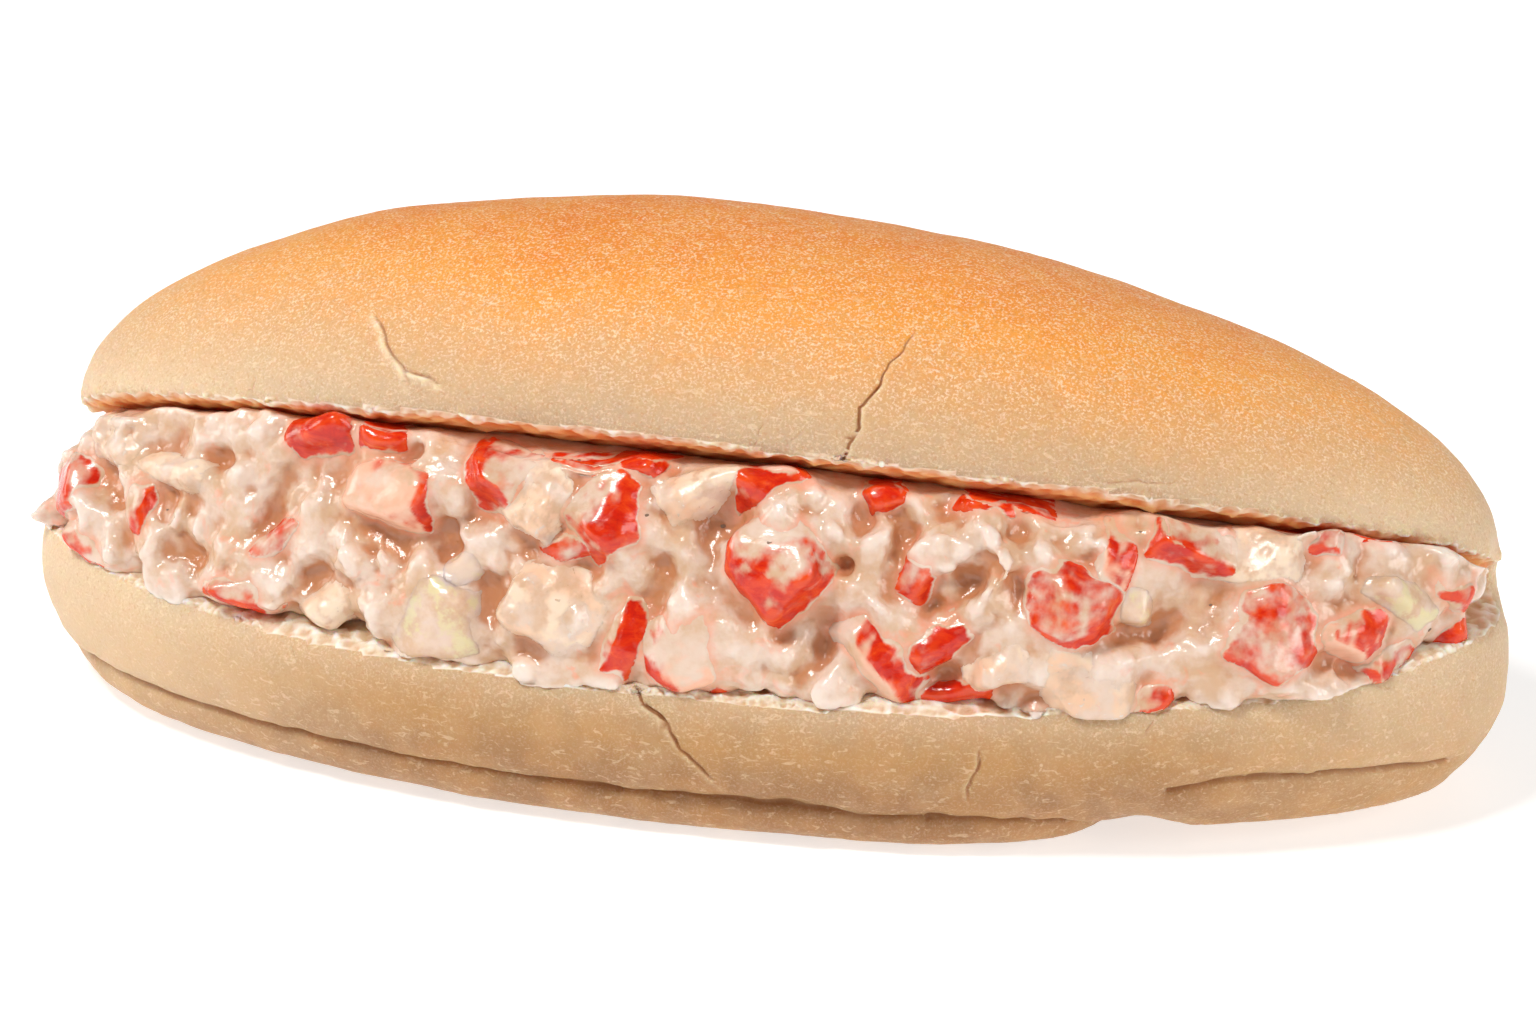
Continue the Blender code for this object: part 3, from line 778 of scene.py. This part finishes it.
def unit_shred():
    """One shred of crab: a bar with torn ends."""
    bpy.ops.mesh.primitive_cube_add(size=1, location=(0, 0, 0))
    shred = bpy.context.object
    edit(shred)
    bpy.ops.mesh.subdivide(number_cuts=5, smoothness=0.0)
    done()
    roughen(shred, grained("torn", "CLOUDS", 0.4, 2), 0.5)
    return shred


def head_height(x):
    """How high up its front the salad reaches: it slumps towards the left tip."""
    return 1.0 - 0.5 * smooth_step(-76, -91, x) - 0.2 * smooth_step(84, 90, x)


def near_any(place, others):
    return min((place - other).length for other in others) < CLEAR_OF_NAMED


def filler(cuts, rng):
    """The pieces under the ones named above: chunks turned every way, drowned in dressing."""
    chunks = []
    named = [face_point(e[0] * MM, e[1]) for e in CRAB + PALE + GREENS]
    for row in range(7):
        for column in range(29):
            x = -90 + 6.6 * column + (3.3 if row % 2 else 0) + rng.uniform(-1.8, 1.8)
            up = 0.02 + 0.158 * row + rng.uniform(-0.06, 0.06)
            size = [rng.uniform(5, 10), rng.uniform(4, 7.5), rng.uniform(5, 8)]
            cut = rng.choice(("block", "wedge", "kite"))
            turned = Euler([math.radians(rng.uniform(-most, most)) for most in (45, 35, 90)]).to_matrix()
            stand = rng.triangular(-2.8, 2.4, 0.4) - 6.0 * smooth_step(0.78, 1.0, up) - SUNK
            stand += 1.8 * smooth_step(0.2, 0.0, up)
            if x > 92 or up > head_height(x) or near_any(face_point(x * MM, up), named):
                continue
            form = Matrix.Diagonal((size[0] * MM, size[1] * MM, size[2] * MM, 1))
            place = face_frame(x * MM, up) @ Matrix.Translation((0, 0, stand * MM))
            chunks.append(copied(cuts[cut], "filler", place @ turned.to_4x4() @ form))
    return chunks


def tip_filler(core, cuts, rng):
    """Chunks round the two tips, as far back as the roll opens there."""
    ground = tree_of(core)
    chunks = []
    for i in range(130):
        side = 1 if i % 2 else -1
        y = rng.uniform(-9, 15) * MM
        gap = (HINGE_Y - y) * math.tan(OPENING)
        eye = Vector((side * 0.12, y, CUT_MIDDLE.z + base_cut(side * 0.09) + rng.uniform(0.1, 0.8) * gap))
        hit, normal, index, depth = ground.ray_cast(eye, Vector((-side, 0, 0)), 0.07)
        turned = Euler([rng.uniform(-3.1, 3.1) for axis in range(3)]).to_matrix().to_4x4()
        room = min(1.0, gap / (9 * MM)) * MM
        size = [rng.uniform(low, high) * room for low, high in ((5, 9), (4, 7), (4, 7))]
        if hit:
            place = Matrix.Translation(hit + Vector((-side * rng.uniform(0.8, 2.4) * MM, 0, 0)))
            chunks.append(copied(cuts[rng.choice(("block", "wedge", "kite"))], "filler",
                                 place @ turned @ Matrix.Diagonal((*size, 1))))
    return chunks


def facing(normal):
    """Turns a thing so that its Z points along a surface's normal."""
    return normal.to_track_quat("Z", "Y").to_matrix().to_4x4()


def scattered(mass, bare, rng):
    """Curds and shreds stuck over the front of the mass, clear of the named pieces."""
    curd, shred = unit_curd(), unit_shred()
    ground, reds = tree_of(mass), tree_of(bare)
    bits = []
    for i in range(CURDS_AND_SHREDS):
        x = rng.uniform(-91, 91)
        spot = face_frame(x * MM, rng.uniform(-0.03, 0.98 * head_height(x)))
        out = spot.to_3x3() @ Vector((0, 0, 1))
        lean = (out + Vector((rng.uniform(-0.5, 0.5), 0, rng.uniform(-0.2, 0.7)))).normalized()
        eye = spot.to_translation() + lean * 0.03
        hit, normal, index, depth = ground.ray_cast(eye, -lean, 0.05)
        patch = noise.noise(eye / (9 * MM))
        if hit is None or patch < 0.08 or reds.find_nearest(hit)[3] < 0.7 * MM:
            continue
        turned = facing(normal) @ Matrix.Rotation(rng.uniform(0, 6.3), 4, "Z")
        if i % 6:
            size = rng.triangular(0.8, 2.4, 1.3) * MM
            place = Matrix.Translation(hit + normal * rng.uniform(-0.4, -0.05) * size) @ turned
            form = Matrix.Diagonal((size * rng.uniform(0.9, 1.8), size, size * 0.8, 1))
            bits.append(copied(curd, "bit", place @ form))
        else:
            thick = rng.uniform(1.0, 2.0) * MM
            place = Matrix.Translation(hit + normal * rng.uniform(-0.4, 0.0) * thick) @ turned
            form = Matrix.Diagonal((rng.uniform(3, 6.5) * MM, thick, thick * 0.8, 1))
            bits.append(copied(shred, "bit", place @ form))
    bpy.data.objects.remove(curd)
    bpy.data.objects.remove(shred)
    return bits


def behind_face(co):
    """How far each place lies behind the salad's front."""
    return co[:, 1] - np.array([face_point(x, 0.5).y for x in co[:, 0]])


def salad_core():
    """The mass of the salad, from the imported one, slumped and sunk behind its pieces."""
    core = copied(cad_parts["crab_salad"], "dressing")
    core.data.materials.clear()
    edit(core)
    bpy.ops.mesh.remove_doubles(threshold=WELD)
    done()
    remesh(core, CORE_GRAIN)
    finish_with(core, "SMOOTH", factor=0.5, iterations=10)
    co = places(core)
    front = smooth_step(4 * MM, -8 * MM, behind_face(co) - 2 * MM)
    height = smooth_step(0, 1, (co[:, 2] - CUT_MIDDLE.z) / (28 * MM))
    co[:, 1] += (1.6 + 4.2 * height) * MM * front
    co[:, 2] -= (1 - head_height(co[:, 0] / MM)) * 0.8 * np.maximum(co[:, 2] - CUT_MIDDLE.z, 0)
    move_to(core, co)
    return core


def press(obj):
    """Squeezes the salad in between the two cut faces, with a gap under the crown here and there."""
    co = places(obj)
    for i, (x, y, z) in enumerate(co):
        y -= CUT_MIDDLE.y
        low = CUT_MIDDLE.z + base_cut(x) - 0.1 * MM
        if z < low:
            outside = y < -half_width(max(-0.0949, min(0.0949, x)))
            co[i, 2] = low - (OVERHANG * math.tanh((low - z) / GIVE) if outside else 0.0)
        edge = crown_point(max(-0.091, min(0.093, x)), 0).y
        front = max(0.0, min(1.0, 1 - (y - edge - 0.5 * MM) / (6 * MM)))
        open_here = smooth_step(-0.050, -0.038, x) * smooth_step(0.072, 0.060, x)
        gap = max(0.0, 0.7 + 2.2 * open_here + 3.4 * noise.noise(Vector((x / (8 * MM), 0.2, 0.7)))) * front
        ahead = max(0.0, edge - y)
        slope = 0.3 * open_here - 0.6 * (1 - open_here)
        high = CUT_MIDDLE.z + crown_cut(x, y + ahead) - (0.25 + gap) * MM - slope * ahead
        if z > high - GIVE and ahead < 6 * MM:
            co[i, 2] = high - GIVE + GIVE * math.tanh((z - high + GIVE) / GIVE)
    move_to(obj, co)


def make_dressing(coats, pieces, smooth_pieces, cuts, rng):
    """All of the salad under one coat of dressing, which fills the gaps between the pieces."""
    core = salad_core()
    mass = join([core] + coats + filler(cuts, rng) + tip_filler(core, cuts, rng), "dressing")
    mass.data.materials.clear()
    remesh(mass, MASS_GRAIN)
    finish_with(mass, "SMOOTH", factor=0.5, iterations=2)
    mass = join([mass] + scattered(mass, pieces, rng), "dressing")
    for step in (0.38, 0.38, -0.37, -0.37):
        remesh(mass, SALAD_GRAIN)
        finish_with(mass, "DISPLACE", strength=step * MM, mid_level=0.0)
    finish_with(mass, "SMOOTH", factor=0.5, iterations=1)
    free = smooth_step(0.0, 1.5 * MM, np.abs(stands_clear(mass, tree_of(smooth_pieces))))
    patches = np.array([noise.noise(Vector(p) / (9 * MM)) for p in places(mass)])
    weigh(mass, "curdled", smooth_step(-0.05, 0.3, patches) * free)
    weigh(mass, "lumpy", 0.5 + 0.5 * free)
    roughen(mass, grained("curds", "VORONOI", 3.3 * MM), -1.8 * MM, "curdled")
    finish_with(mass, "SMOOTH", factor=0.5, iterations=1)
    roughen(mass, bpy.data.textures["lumps"], 0.6 * MM, "lumpy")
    press(mass)
    thin_out(mass)
    return mass


def settle(piece, surface, proud):
    """Lays a piece in the dressing: its bare faces follow the surface, and its edges dive under it."""
    co, normals = places(piece), directions(piece)
    clear = np.zeros(len(co))
    for i, spot in enumerate(co):
        place, normal, index, away = surface.find_nearest(Vector(spot))
        under = math.copysign(away, (place - Vector(spot)).dot(normal))
        facing = normal.dot(Vector(normals[i]))
        clear[i] = smooth_step(0.45 * MM, 0.1 * MM, under) * smooth_step(0.45, 0.9, facing)
        if under < REACH:
            bare = smooth_step(REACH, 0.3 * MM, under) * smooth_step(0.2, 0.75, facing)
            co[i] = place + normal * (bare * proud - (1 - bare) * DIVE)
    move_to(piece, co)
    write(piece, "clear", clear)
    finish_with(piece, "SMOOTH", factor=0.5, iterations=1)


def lie_of(obj, steps):
    """How far each place lies above the surface worked smooth, in metres: ridges over 0, hollows under."""
    smoothed = copied(obj, "smoothed")
    finish_with(smoothed, "SMOOTH", factor=0.5, iterations=steps)
    lift = ((places(obj) - places(smoothed)) * directions(smoothed)).sum(1)
    bpy.data.objects.remove(smoothed)
    return lift


def make_pepper(mass, rng):
    """A few specks of pepper on the dressing."""
    ground = tree_of(mass)
    bpy.ops.mesh.primitive_ico_sphere_add(subdivisions=2, radius=0.5, location=(0, 0, 0))
    speck = bpy.context.object
    roughen(speck, bpy.data.textures["curd"], 0.6)
    specks = []
    while len(specks) < PEPPER_SPECKS:
        spot = face_frame(rng.uniform(-86, 86) * MM, rng.uniform(0.05, 0.9))
        out = spot.to_3x3() @ Vector((0, 0, 1))
        hit, normal, index, depth = ground.ray_cast(spot.to_translation() + out * 0.02, -out, 0.04)
        if hit:
            size = rng.uniform(0.25, 0.6) * MM
            form = Matrix.Diagonal((size * 1.4, size, size * 0.6, 1))
            specks.append(copied(speck, "speck", Matrix.Translation(hit) @ facing(normal) @ form))
    bpy.data.objects.remove(speck)
    return join(specks, "pepper")


def thin_out(mass):
    """Fewer faces where the salad lies hidden between the two halves of the bread."""
    weigh(mass, "hidden", smooth_step(5 * MM, 9 * MM, behind_face(places(mass))))
    finish_with(mass, "DECIMATE", ratio=0.54, vertex_group="hidden", vertex_group_factor=10)


def tree_of(obj):
    mesh = obj.data
    return BVHTree.FromPolygons([v.co for v in mesh.vertices], [tuple(p.vertices) for p in mesh.polygons])


def stands_clear(obj, tree):
    """How far each vertex of a piece stands out of another surface, below it counting as less than 0."""
    heights = []
    for vert in obj.data.vertices:
        place, normal, index, away = tree.find_nearest(vert.co)
        heights.append(math.copysign(away, (vert.co - place).dot(normal)))
    return np.array(heights)


# ---------------------------------------------------------------- materials


def rgb(red, green, blue):
    """A colour as seen on a screen, from 0 to 255, as the shader wants it."""
    seen = (red / 255, green / 255, blue / 255)
    return (*(c / 12.92 if c <= 0.04045 else ((c + 0.055) / 1.055) ** 2.4 for c in seen), 1.0)


class Finish:
    """A material being made: nodes are added one by one, and a socket given as a value is linked."""

    def __init__(self, name, roughness, **surface):
        self.material = bpy.data.materials.new(name)
        self.material.use_nodes = True
        self.tree = self.material.node_tree
        self.surface = self.tree.nodes["Principled BSDF"]
        self.surface.inputs["Roughness"].default_value = roughness
        for key, value in surface.items():
            self.surface.inputs[key.replace("_", " ")].default_value = value
        self.here = self.add("ShaderNodeTexCoord").outputs["Object"]

    def add(self, kind, settings=None, **inputs):
        node = self.tree.nodes.new(kind)
        for key, value in (settings or {}).items():
            setattr(node, key, value)
        for key, value in inputs.items():
            self.put(node.inputs[key.replace("_", " ")], value)
        return node

    def put(self, socket, value):
        if isinstance(value, bpy.types.NodeSocket):
            self.tree.links.new(value, socket)
        else:
            socket.default_value = value

    def read(self, name):
        return self.add("ShaderNodeAttribute", {"attribute_name": name}).outputs["Fac"]

    def noise(self, size, detail=3.0, roughness=0.55, stretch=None, distortion=0.0):
        where = self.here
        if stretch:
            where = self.add("ShaderNodeMapping", Vector=where, Scale=stretch).outputs["Vector"]
        made = self.add("ShaderNodeTexNoise", Vector=where, Scale=1 / size, Detail=detail,
                        Roughness=roughness, Distortion=distortion)
        return made.outputs["Fac"]

    def cells(self, size):
        return self.add("ShaderNodeTexVoronoi", Vector=self.here, Scale=1 / size).outputs["Distance"]

    def math(self, operation, a, b=0.0):
        node = self.add("ShaderNodeMath", {"operation": operation})
        self.put(node.inputs[0], a)
        self.put(node.inputs[1], b)
        return node.outputs[0]

    def times(self, a, b):
        return self.math("MULTIPLY", a, b)

    def swing(self, value, amount):
        """What runs from 0 to 1 made to swing about 0 by this amount in all."""
        return self.times(self.math("SUBTRACT", value, 0.5), amount)

    def between(self, value, low, high, to_low=0.0, to_high=1.0):
        node = self.add("ShaderNodeMapRange", {"interpolation_type": "SMOOTHSTEP"}, Value=value, From_Min=low,
                        From_Max=high, To_Min=to_low, To_Max=to_high)
        return node.outputs["Result"]

    def ramp(self, value, *stops):
        node = self.add("ShaderNodeValToRGB", Fac=value)
        ramp = node.color_ramp
        while len(ramp.elements) < len(stops):
            ramp.elements.new(0.5)
        for element, (place, colour) in zip(ramp.elements, stops):
            element.position = place
            element.color = colour
        return node.outputs["Color"]

    def mix(self, share, first, second):
        node = self.add("ShaderNodeMix", {"data_type": "RGBA"})
        self.put(node.inputs[0], share)
        self.put(node.inputs[6], first)
        self.put(node.inputs[7], second)
        return node.outputs[2]

    def bump(self, height, distance, strength=1.0, over=None):
        node = self.add("ShaderNodeBump", Height=height, Distance=distance, Strength=strength)
        if over:
            self.put(node.inputs["Normal"], over)
        return node.outputs["Normal"]

    def cream(self):
        """The dressing's own colour, in two shades."""
        return self.mix(self.between(self.noise(0.005, 4, 0.6), 0.35, 0.65), CREAM, DEEP_CREAM)

    def scatter(self, *radii):
        """How far red, green and blue light run under the surface, against each other."""
        self.surface.inputs["Subsurface Radius"].default_value = radii

    def colour(self, socket):
        self.put(self.surface.inputs["Base Color"], socket)

    def relief(self, socket):
        self.put(self.surface.inputs["Normal"], socket)


# How baked the crust is, from the cut to the ridge. The lowest stop, by the cut, is a little darker and
# greyer: partly the pale crust's colour, partly painted shade where the crown turns down.
BAKED_AND_RIM_SHADE = [(0.0, rgb(194, 166, 136)), (0.20, rgb(206, 170, 130)), (0.5, rgb(222, 166, 106)),
         (0.75, rgb(242, 162, 68)), (1.0, rgb(236, 131, 26))]
# The base's side: its tan, darkening downwards as painted shade.
TAN_AND_PAINTED_SHADE = [(0.0, rgb(190, 160, 126)), (0.5, rgb(184, 141, 91)), (1.0, rgb(164, 122, 82))]
# The crumb by how convex it is: painted shade in its hollows, painted highlight on its ridges.
CRUMB = [(0.20, rgb(204, 156, 112)), (0.42, rgb(224, 192, 158)), (0.56, rgb(238, 218, 196)),
         (0.75, rgb(250, 240, 228))]
# Crumb deep in the opening under the crown, painted a warm brown shade.
CRUMB_IN_GAP_SHADE = [(0.25, rgb(236, 132, 66)), (0.65, rgb(252, 184, 120))]
# The cracks' clefts: the torn crust's brown, darkened as painted shade.
TORN_AND_CLEFT_SHADE = rgb(158, 100, 52)
# A painted shadow along the fold's crease.
FOLD_SHADOW = rgb(158, 104, 60)


def crust_finish():
    """Baked crust, pale at the cut and golden on top, with light flecks and painted shade; crumb where it is
    cut or torn.
    """
    made = Finish("crust", 0.50, Subsurface_Weight=0.45, Subsurface_Scale=0.007, Specular_IOR_Level=0.32)
    made.scatter(1.0, 0.35, 0.10)
    bake, crumb, deep, torn, fold, flake, pale, tan_and_shade, crumb_light_and_shade = (
        made.read(name) for name in
        ("bake", "crumb", "deep", "torn", "fold", "flake", "pale", "tan_and_shade", "crumb_light_and_shade"))
    # The baked colour, blotched, over the tan of the base's side, painted darker downwards as painted shade,
    # and the pale tips.
    patches = made.swing(made.noise(0.016, 2), 0.28)
    mottle = made.swing(made.noise(0.0026, 4, 0.65), 0.34)
    crust = made.ramp(made.math("ADD", made.math("ADD", bake, patches), mottle), *BAKED_AND_RIM_SHADE)
    tan = made.ramp(tan_and_shade, *TAN_AND_PAINTED_SHADE)
    tan = made.mix(made.between(made.noise(0.0045, 3, 0.6), 0.42, 0.7, 0.0, 0.22), tan, rgb(214, 180, 142))
    tan = made.mix(made.between(made.noise(0.008, 2), 0.42, 0.62, 0.0, 0.3), tan, rgb(208, 158, 100))
    crust = made.mix(made.between(tan_and_shade, 0.0, 0.30), crust, tan)
    crust = made.mix(made.times(pale, 0.7), crust, rgb(238, 210, 174))
    # Fine light flecks, dark specks between them, scratches and dots.
    grains = made.between(made.noise(0.00034, 3, 0.6), 0.49, 0.64)
    dusted = made.between(made.noise(0.0030, 3), 0.25, 0.55, 0.4, 1.0)
    strength = made.times(made.between(bake, 0.1, 0.6, 0.27, 0.62), made.between(tan_and_shade, 0.0, 0.5, 1.0, 0.36))
    crust = made.mix(made.times(made.times(grains, dusted), strength), crust, rgb(255, 236, 208))
    specks = made.between(made.noise(0.00045, 2, 0.5), 0.44, 0.32)
    specks = made.times(specks, made.between(tan_and_shade, 0.0, 0.5, 0.26, 0.12))
    crust = made.mix(specks, crust, rgb(190, 122, 64))
    scratches = made.between(made.noise(0.0007, 2, 0.5, (0.45, 1, 1), 1.2), 0.60, 0.68)
    crust = made.mix(made.times(scratches, 0.3), crust, rgb(248, 226, 194))
    dots = made.between(made.cells(0.0028), 0.10, 0.05)
    dots = made.times(dots, made.between(made.noise(0.006, 1), 0.45, 0.6))
    crust = made.mix(made.times(dots, 0.35), crust, rgb(255, 238, 208))
    # Crumb, painted a warm brown shade deep in the opening, then lifted flakes, the fold's painted shadow
    # line, and the cracks painted dark, partly as shade.
    inside = made.mix(deep, made.ramp(crumb_light_and_shade, *CRUMB), made.ramp(crumb_light_and_shade, *CRUMB_IN_GAP_SHADE))
    colour = made.mix(made.between(crumb, 0.35, 0.75), crust, inside)
    colour = made.mix(made.times(flake, 0.85), colour, rgb(250, 232, 202))
    colour = made.mix(made.times(fold, 0.85), colour, FOLD_SHADOW)
    made.colour(made.mix(made.between(torn, 0.15, 0.75, 0.0, 0.85), colour, TORN_AND_CLEFT_SHADE))
    fine = made.bump(made.noise(0.00036, 3, 0.7), 0.00012, 0.9)
    fleck_relief = made.bump(grains, 0.00005, 0.6, fine)
    made.relief(made.bump(made.noise(0.0018, 3, 0.6), 0.0003, 0.4, fleck_relief))
    return made.material


CREAM = rgb(227, 203, 186)
DEEP_CREAM = rgb(212, 175, 143)
# Painted highlight on the dressing's ridges, and painted shade in its hollows.
CREAM_IN_PAINTED_HIGHLIGHT = rgb(245, 234, 226)
CREAM_IN_PAINTED_SHADE = rgb(194, 125, 80)
BLUSH = rgb(240, 158, 128)
STAINED_CREAM = rgb(240, 156, 128)


def dressing_finish():
    """Creamy dressing, stained a little where it lies thin over the crab, painted darker in its hollows as
    shade and lighter on its ridges as highlight.
    """
    made = Finish("dressing", 0.2, Subsurface_Weight=0.2, Subsurface_Scale=0.0014, Specular_IOR_Level=0.55)
    made.scatter(1.0, 0.45, 0.22)
    lie, near_red = made.read("lie"), made.read("near_red")
    stain = made.between(made.math("ADD", near_red, made.swing(made.noise(0.0024, 3), 1.3)), 0.2, 1.2)
    blush = made.between(made.noise(0.0040, 3, 0.6, None, 0.8), 0.57, 0.72)
    cream = made.mix(made.times(blush, 0.55), made.cream(), BLUSH)
    # Painted shade in the hollows, painted highlight on the ridges.
    cream = made.mix(made.between(lie, 0.46, 0.06, 0.0, 0.85), cream, CREAM_IN_PAINTED_SHADE)
    cream = made.mix(made.between(lie, 0.55, 0.95, 0.0, 0.6), cream, CREAM_IN_PAINTED_HIGHLIGHT)
    made.colour(made.mix(made.times(stain, 0.6), cream, STAINED_CREAM))
    fine = made.bump(made.noise(0.0006, 3, 0.6), 0.00014, 0.4)
    made.relief(made.bump(made.noise(0.0015, 2, 0.5), 0.0003, 0.5, fine))
    return made.material


SKIN = [(0.30, rgb(184, 18, 0)), (0.45, rgb(207, 33, 0)), (0.60, rgb(223, 60, 8)), (0.80, rgb(235, 106, 38))]


def crab_finish():
    """Crab stick: orange-red skin under an uneven film of dressing, and pale flesh."""
    made = Finish("crab_stick", 0.2, Subsurface_Weight=0.1, Subsurface_Scale=0.0012, Specular_IOR_Level=0.55)
    made.scatter(1.0, 0.3, 0.15)
    clear, red, film, edge = (made.read(name) for name in ("clear", "red", "film", "edge"))
    skin = made.ramp(made.noise(0.0018, 4, 0.6, (0.45, 1, 1), 0.6), *SKIN)
    skin = made.mix(made.times(edge, 0.4), skin, rgb(244, 96, 34))
    flesh = made.mix(made.noise(0.0022, 3), rgb(240, 204, 178), rgb(238, 168, 138))
    skin = made.mix(red, flesh, skin)
    broad = made.swing(made.noise(0.0042, 2, 0.5, None, 0.5), 1.5)
    small = made.swing(made.noise(0.0013, 2, 0.5, (1, 0.5, 1)), 0.6)
    film = made.math("ADD", film, made.math("SUBTRACT", 1.0, clear))
    film = made.between(made.math("ADD", film, made.math("ADD", broad, small)), 0.26, 0.92)
    made.colour(made.mix(film, skin, made.cream()))
    made.relief(made.bump(made.noise(0.0008, 3, 0.6, (0.4, 1, 1)), 0.00016, 0.4))
    return made.material


def under_cream(made, flesh, patches):
    """Colours a piece: dressing lies on it in patches, and wherever the piece isn't clear of it."""
    sunk = made.math("SUBTRACT", 1.0, made.read("clear"))
    made.colour(made.mix(made.between(made.math("ADD", patches, sunk), 0.0, 1.0), flesh, made.cream()))


def flesh_finish():
    """Pale crab flesh, hardly lighter than its dressing."""
    made = Finish("crab_flesh", 0.3, Subsurface_Weight=0.2, Subsurface_Scale=0.0014, Specular_IOR_Level=0.55)
    made.scatter(1.0, 0.45, 0.22)
    flesh = made.mix(made.between(made.noise(0.006, 2), 0.4, 0.6), rgb(238, 216, 192), rgb(234, 196, 166))
    under_cream(made, flesh, made.between(made.noise(0.0030, 3, 0.6), 0.38, 0.62))
    made.relief(made.bump(made.noise(0.0009, 3, 0.6), 0.00016, 0.4))
    return made.material


def celery_finish():
    """Celery: pale yellow-green, clearer at its edges, with dressing on it."""
    made = Finish("celery", 0.22, Subsurface_Weight=0.5, Subsurface_Scale=0.003, Specular_IOR_Level=0.55)
    made.scatter(1.0, 0.8, 0.35)
    flesh = made.mix(made.noise(0.0016, 3, 0.6, (0.3, 1, 1)), rgb(230, 214, 176), rgb(220, 206, 160))
    under_cream(made, flesh, made.between(made.noise(0.0034, 4, 0.6), 0.36, 0.56))
    made.relief(made.bump(made.noise(0.0009, 3, 0.6, (0.3, 1, 1)), 0.0002, 0.4))
    return made.material


def pepper_finish():
    made = Finish("pepper", 0.5)
    made.colour(made.mix(made.noise(0.0006, 2), rgb(96, 76, 62), rgb(150, 122, 100)))
    return made.material


def floor_finish():
    made = Finish("paper", 0.9, Specular_IOR_Level=0.0, Emission_Strength=0.60)
    made.surface.inputs["Base Color"].default_value = (0.66, 0.66, 0.66, 1)
    made.surface.inputs["Emission Color"].default_value = (1, 1, 1, 1)
    return made.material


def dress(obj, material, nodes):
    obj.data.materials.clear()
    obj.data.materials.append(material)
    only(obj)
    bpy.ops.object.shade_smooth()
    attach(obj, "root")
    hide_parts(*nodes)


# ---------------------------------------------------------------- camera and light

VIEW_AZIMUTH = 12.4
VIEW_ELEVATION = 24
VIEW_DISTANCE = 0.545
VIEW_TARGET = Vector((0.0018, -0.0005, 0.0294))


def look(obj, place, target):
    obj.location = place
    obj.rotation_euler = (Vector(target) - Vector(place)).to_track_quat("-Z", "Y").to_euler()


def set_camera():
    azimuth, elevation = math.radians(VIEW_AZIMUTH), math.radians(VIEW_ELEVATION)
    flat = math.cos(elevation)
    back = Vector((math.sin(azimuth) * flat, -math.cos(azimuth) * flat, math.sin(elevation)))
    camera = bpy.data.objects.new("camera", bpy.data.cameras.new("camera"))
    bpy.context.scene.collection.objects.link(camera)
    camera.data.lens = 100
    camera.data.sensor_width = 36
    look(camera, VIEW_TARGET + back * VIEW_DISTANCE, VIEW_TARGET)
    bpy.context.scene.camera = camera


def softbox(name, place, size, power, colour):
    light = bpy.data.objects.new(name, bpy.data.lights.new(name, "AREA"))
    bpy.context.scene.collection.objects.link(light)
    light.data.shape = "DISK"
    light.data.size = size
    light.data.energy = power
    light.data.color = colour
    look(light, place, (0, 0, 0.03))


def set_lights():
    world = bpy.data.worlds.new("room")
    bpy.context.scene.world = world
    world.use_nodes = True
    background = world.node_tree.nodes["Background"]
    background.inputs["Color"].default_value = (1.0, 0.985, 0.965, 1)
    background.inputs["Strength"].default_value = 0.15
    softbox("key", (-0.26, -0.36, 0.78), 0.20, 5.3, (1.0, 0.985, 0.96))
    softbox("right", (0.78, -0.26, 0.38), 0.5, 3.0, (1.0, 0.98, 0.96))
    softbox("left", (-0.80, -0.08, 0.30), 0.4, 1.8, (1.0, 0.98, 0.96))
    softbox("back", (0.15, 0.80, 0.55), 0.6, 1.0, (1.0, 0.98, 0.96))
    softbox("front", (0.10, -0.76, 0.26), 0.3, 0.4, (1.0, 0.82, 0.62))
    bpy.context.scene.view_settings.view_transform = "Standard"


def set_floor():
    bpy.ops.mesh.primitive_plane_add(size=6, location=(0, 0, 0))
    floor = bpy.context.object
    floor.name = "floor"
    edit(floor)
    bpy.ops.mesh.subdivide(number_cuts=3)
    done()
    floor.data.materials.append(floor_finish())


def main():
    bpy.ops.object.select_all(action="DESELECT")
    noise.seed_set(7)
    rng = random.Random(7)
    bread = make_bread()
    cuts = make_cuts()
    (crab, pale, celery), coats = make_pieces(cuts)
    named = join([copied(piece, "named") for piece in (crab, pale, celery)], "named")
    smooth_pieces = join([copied(piece, "smooth") for piece in (crab, celery)], "smooth")
    dressing = make_dressing(coats, named, smooth_pieces, cuts, rng)
    for used in (smooth_pieces, named, *cuts.values()):
        bpy.data.objects.remove(used)
    pepper = make_pepper(dressing, rng)
    # How far the dressing lies above or below its smoothed surface, for its painted shade and painted
    # highlight.
    write(dressing, "lie", np.clip(0.5 + lie_of(dressing, 160) / (1.6 * MM), 0, 1))
    surface = tree_of(dressing)
    for piece, proud in ((crab, 0.10), (pale, 0.05), (celery, 0.08)):
        settle(piece, surface, proud * MM)
    from_crab = np.maximum(stands_clear(dressing, tree_of(crab)), 0)
    write(dressing, "near_red", np.exp(-from_crab / (0.8 * MM)))
    dress(bread, crust_finish(), ["roll"])
    dress(dressing, dressing_finish(), ["crab_salad"])
    dress(crab, crab_finish(), ["crab_salad"])
    dress(pale, flesh_finish(), ["crab_salad"])
    dress(celery, celery_finish(), ["crab_salad"])
    dress(pepper, pepper_finish(), ["crab_salad"])
    set_camera()
    set_lights()
    set_floor()


main()
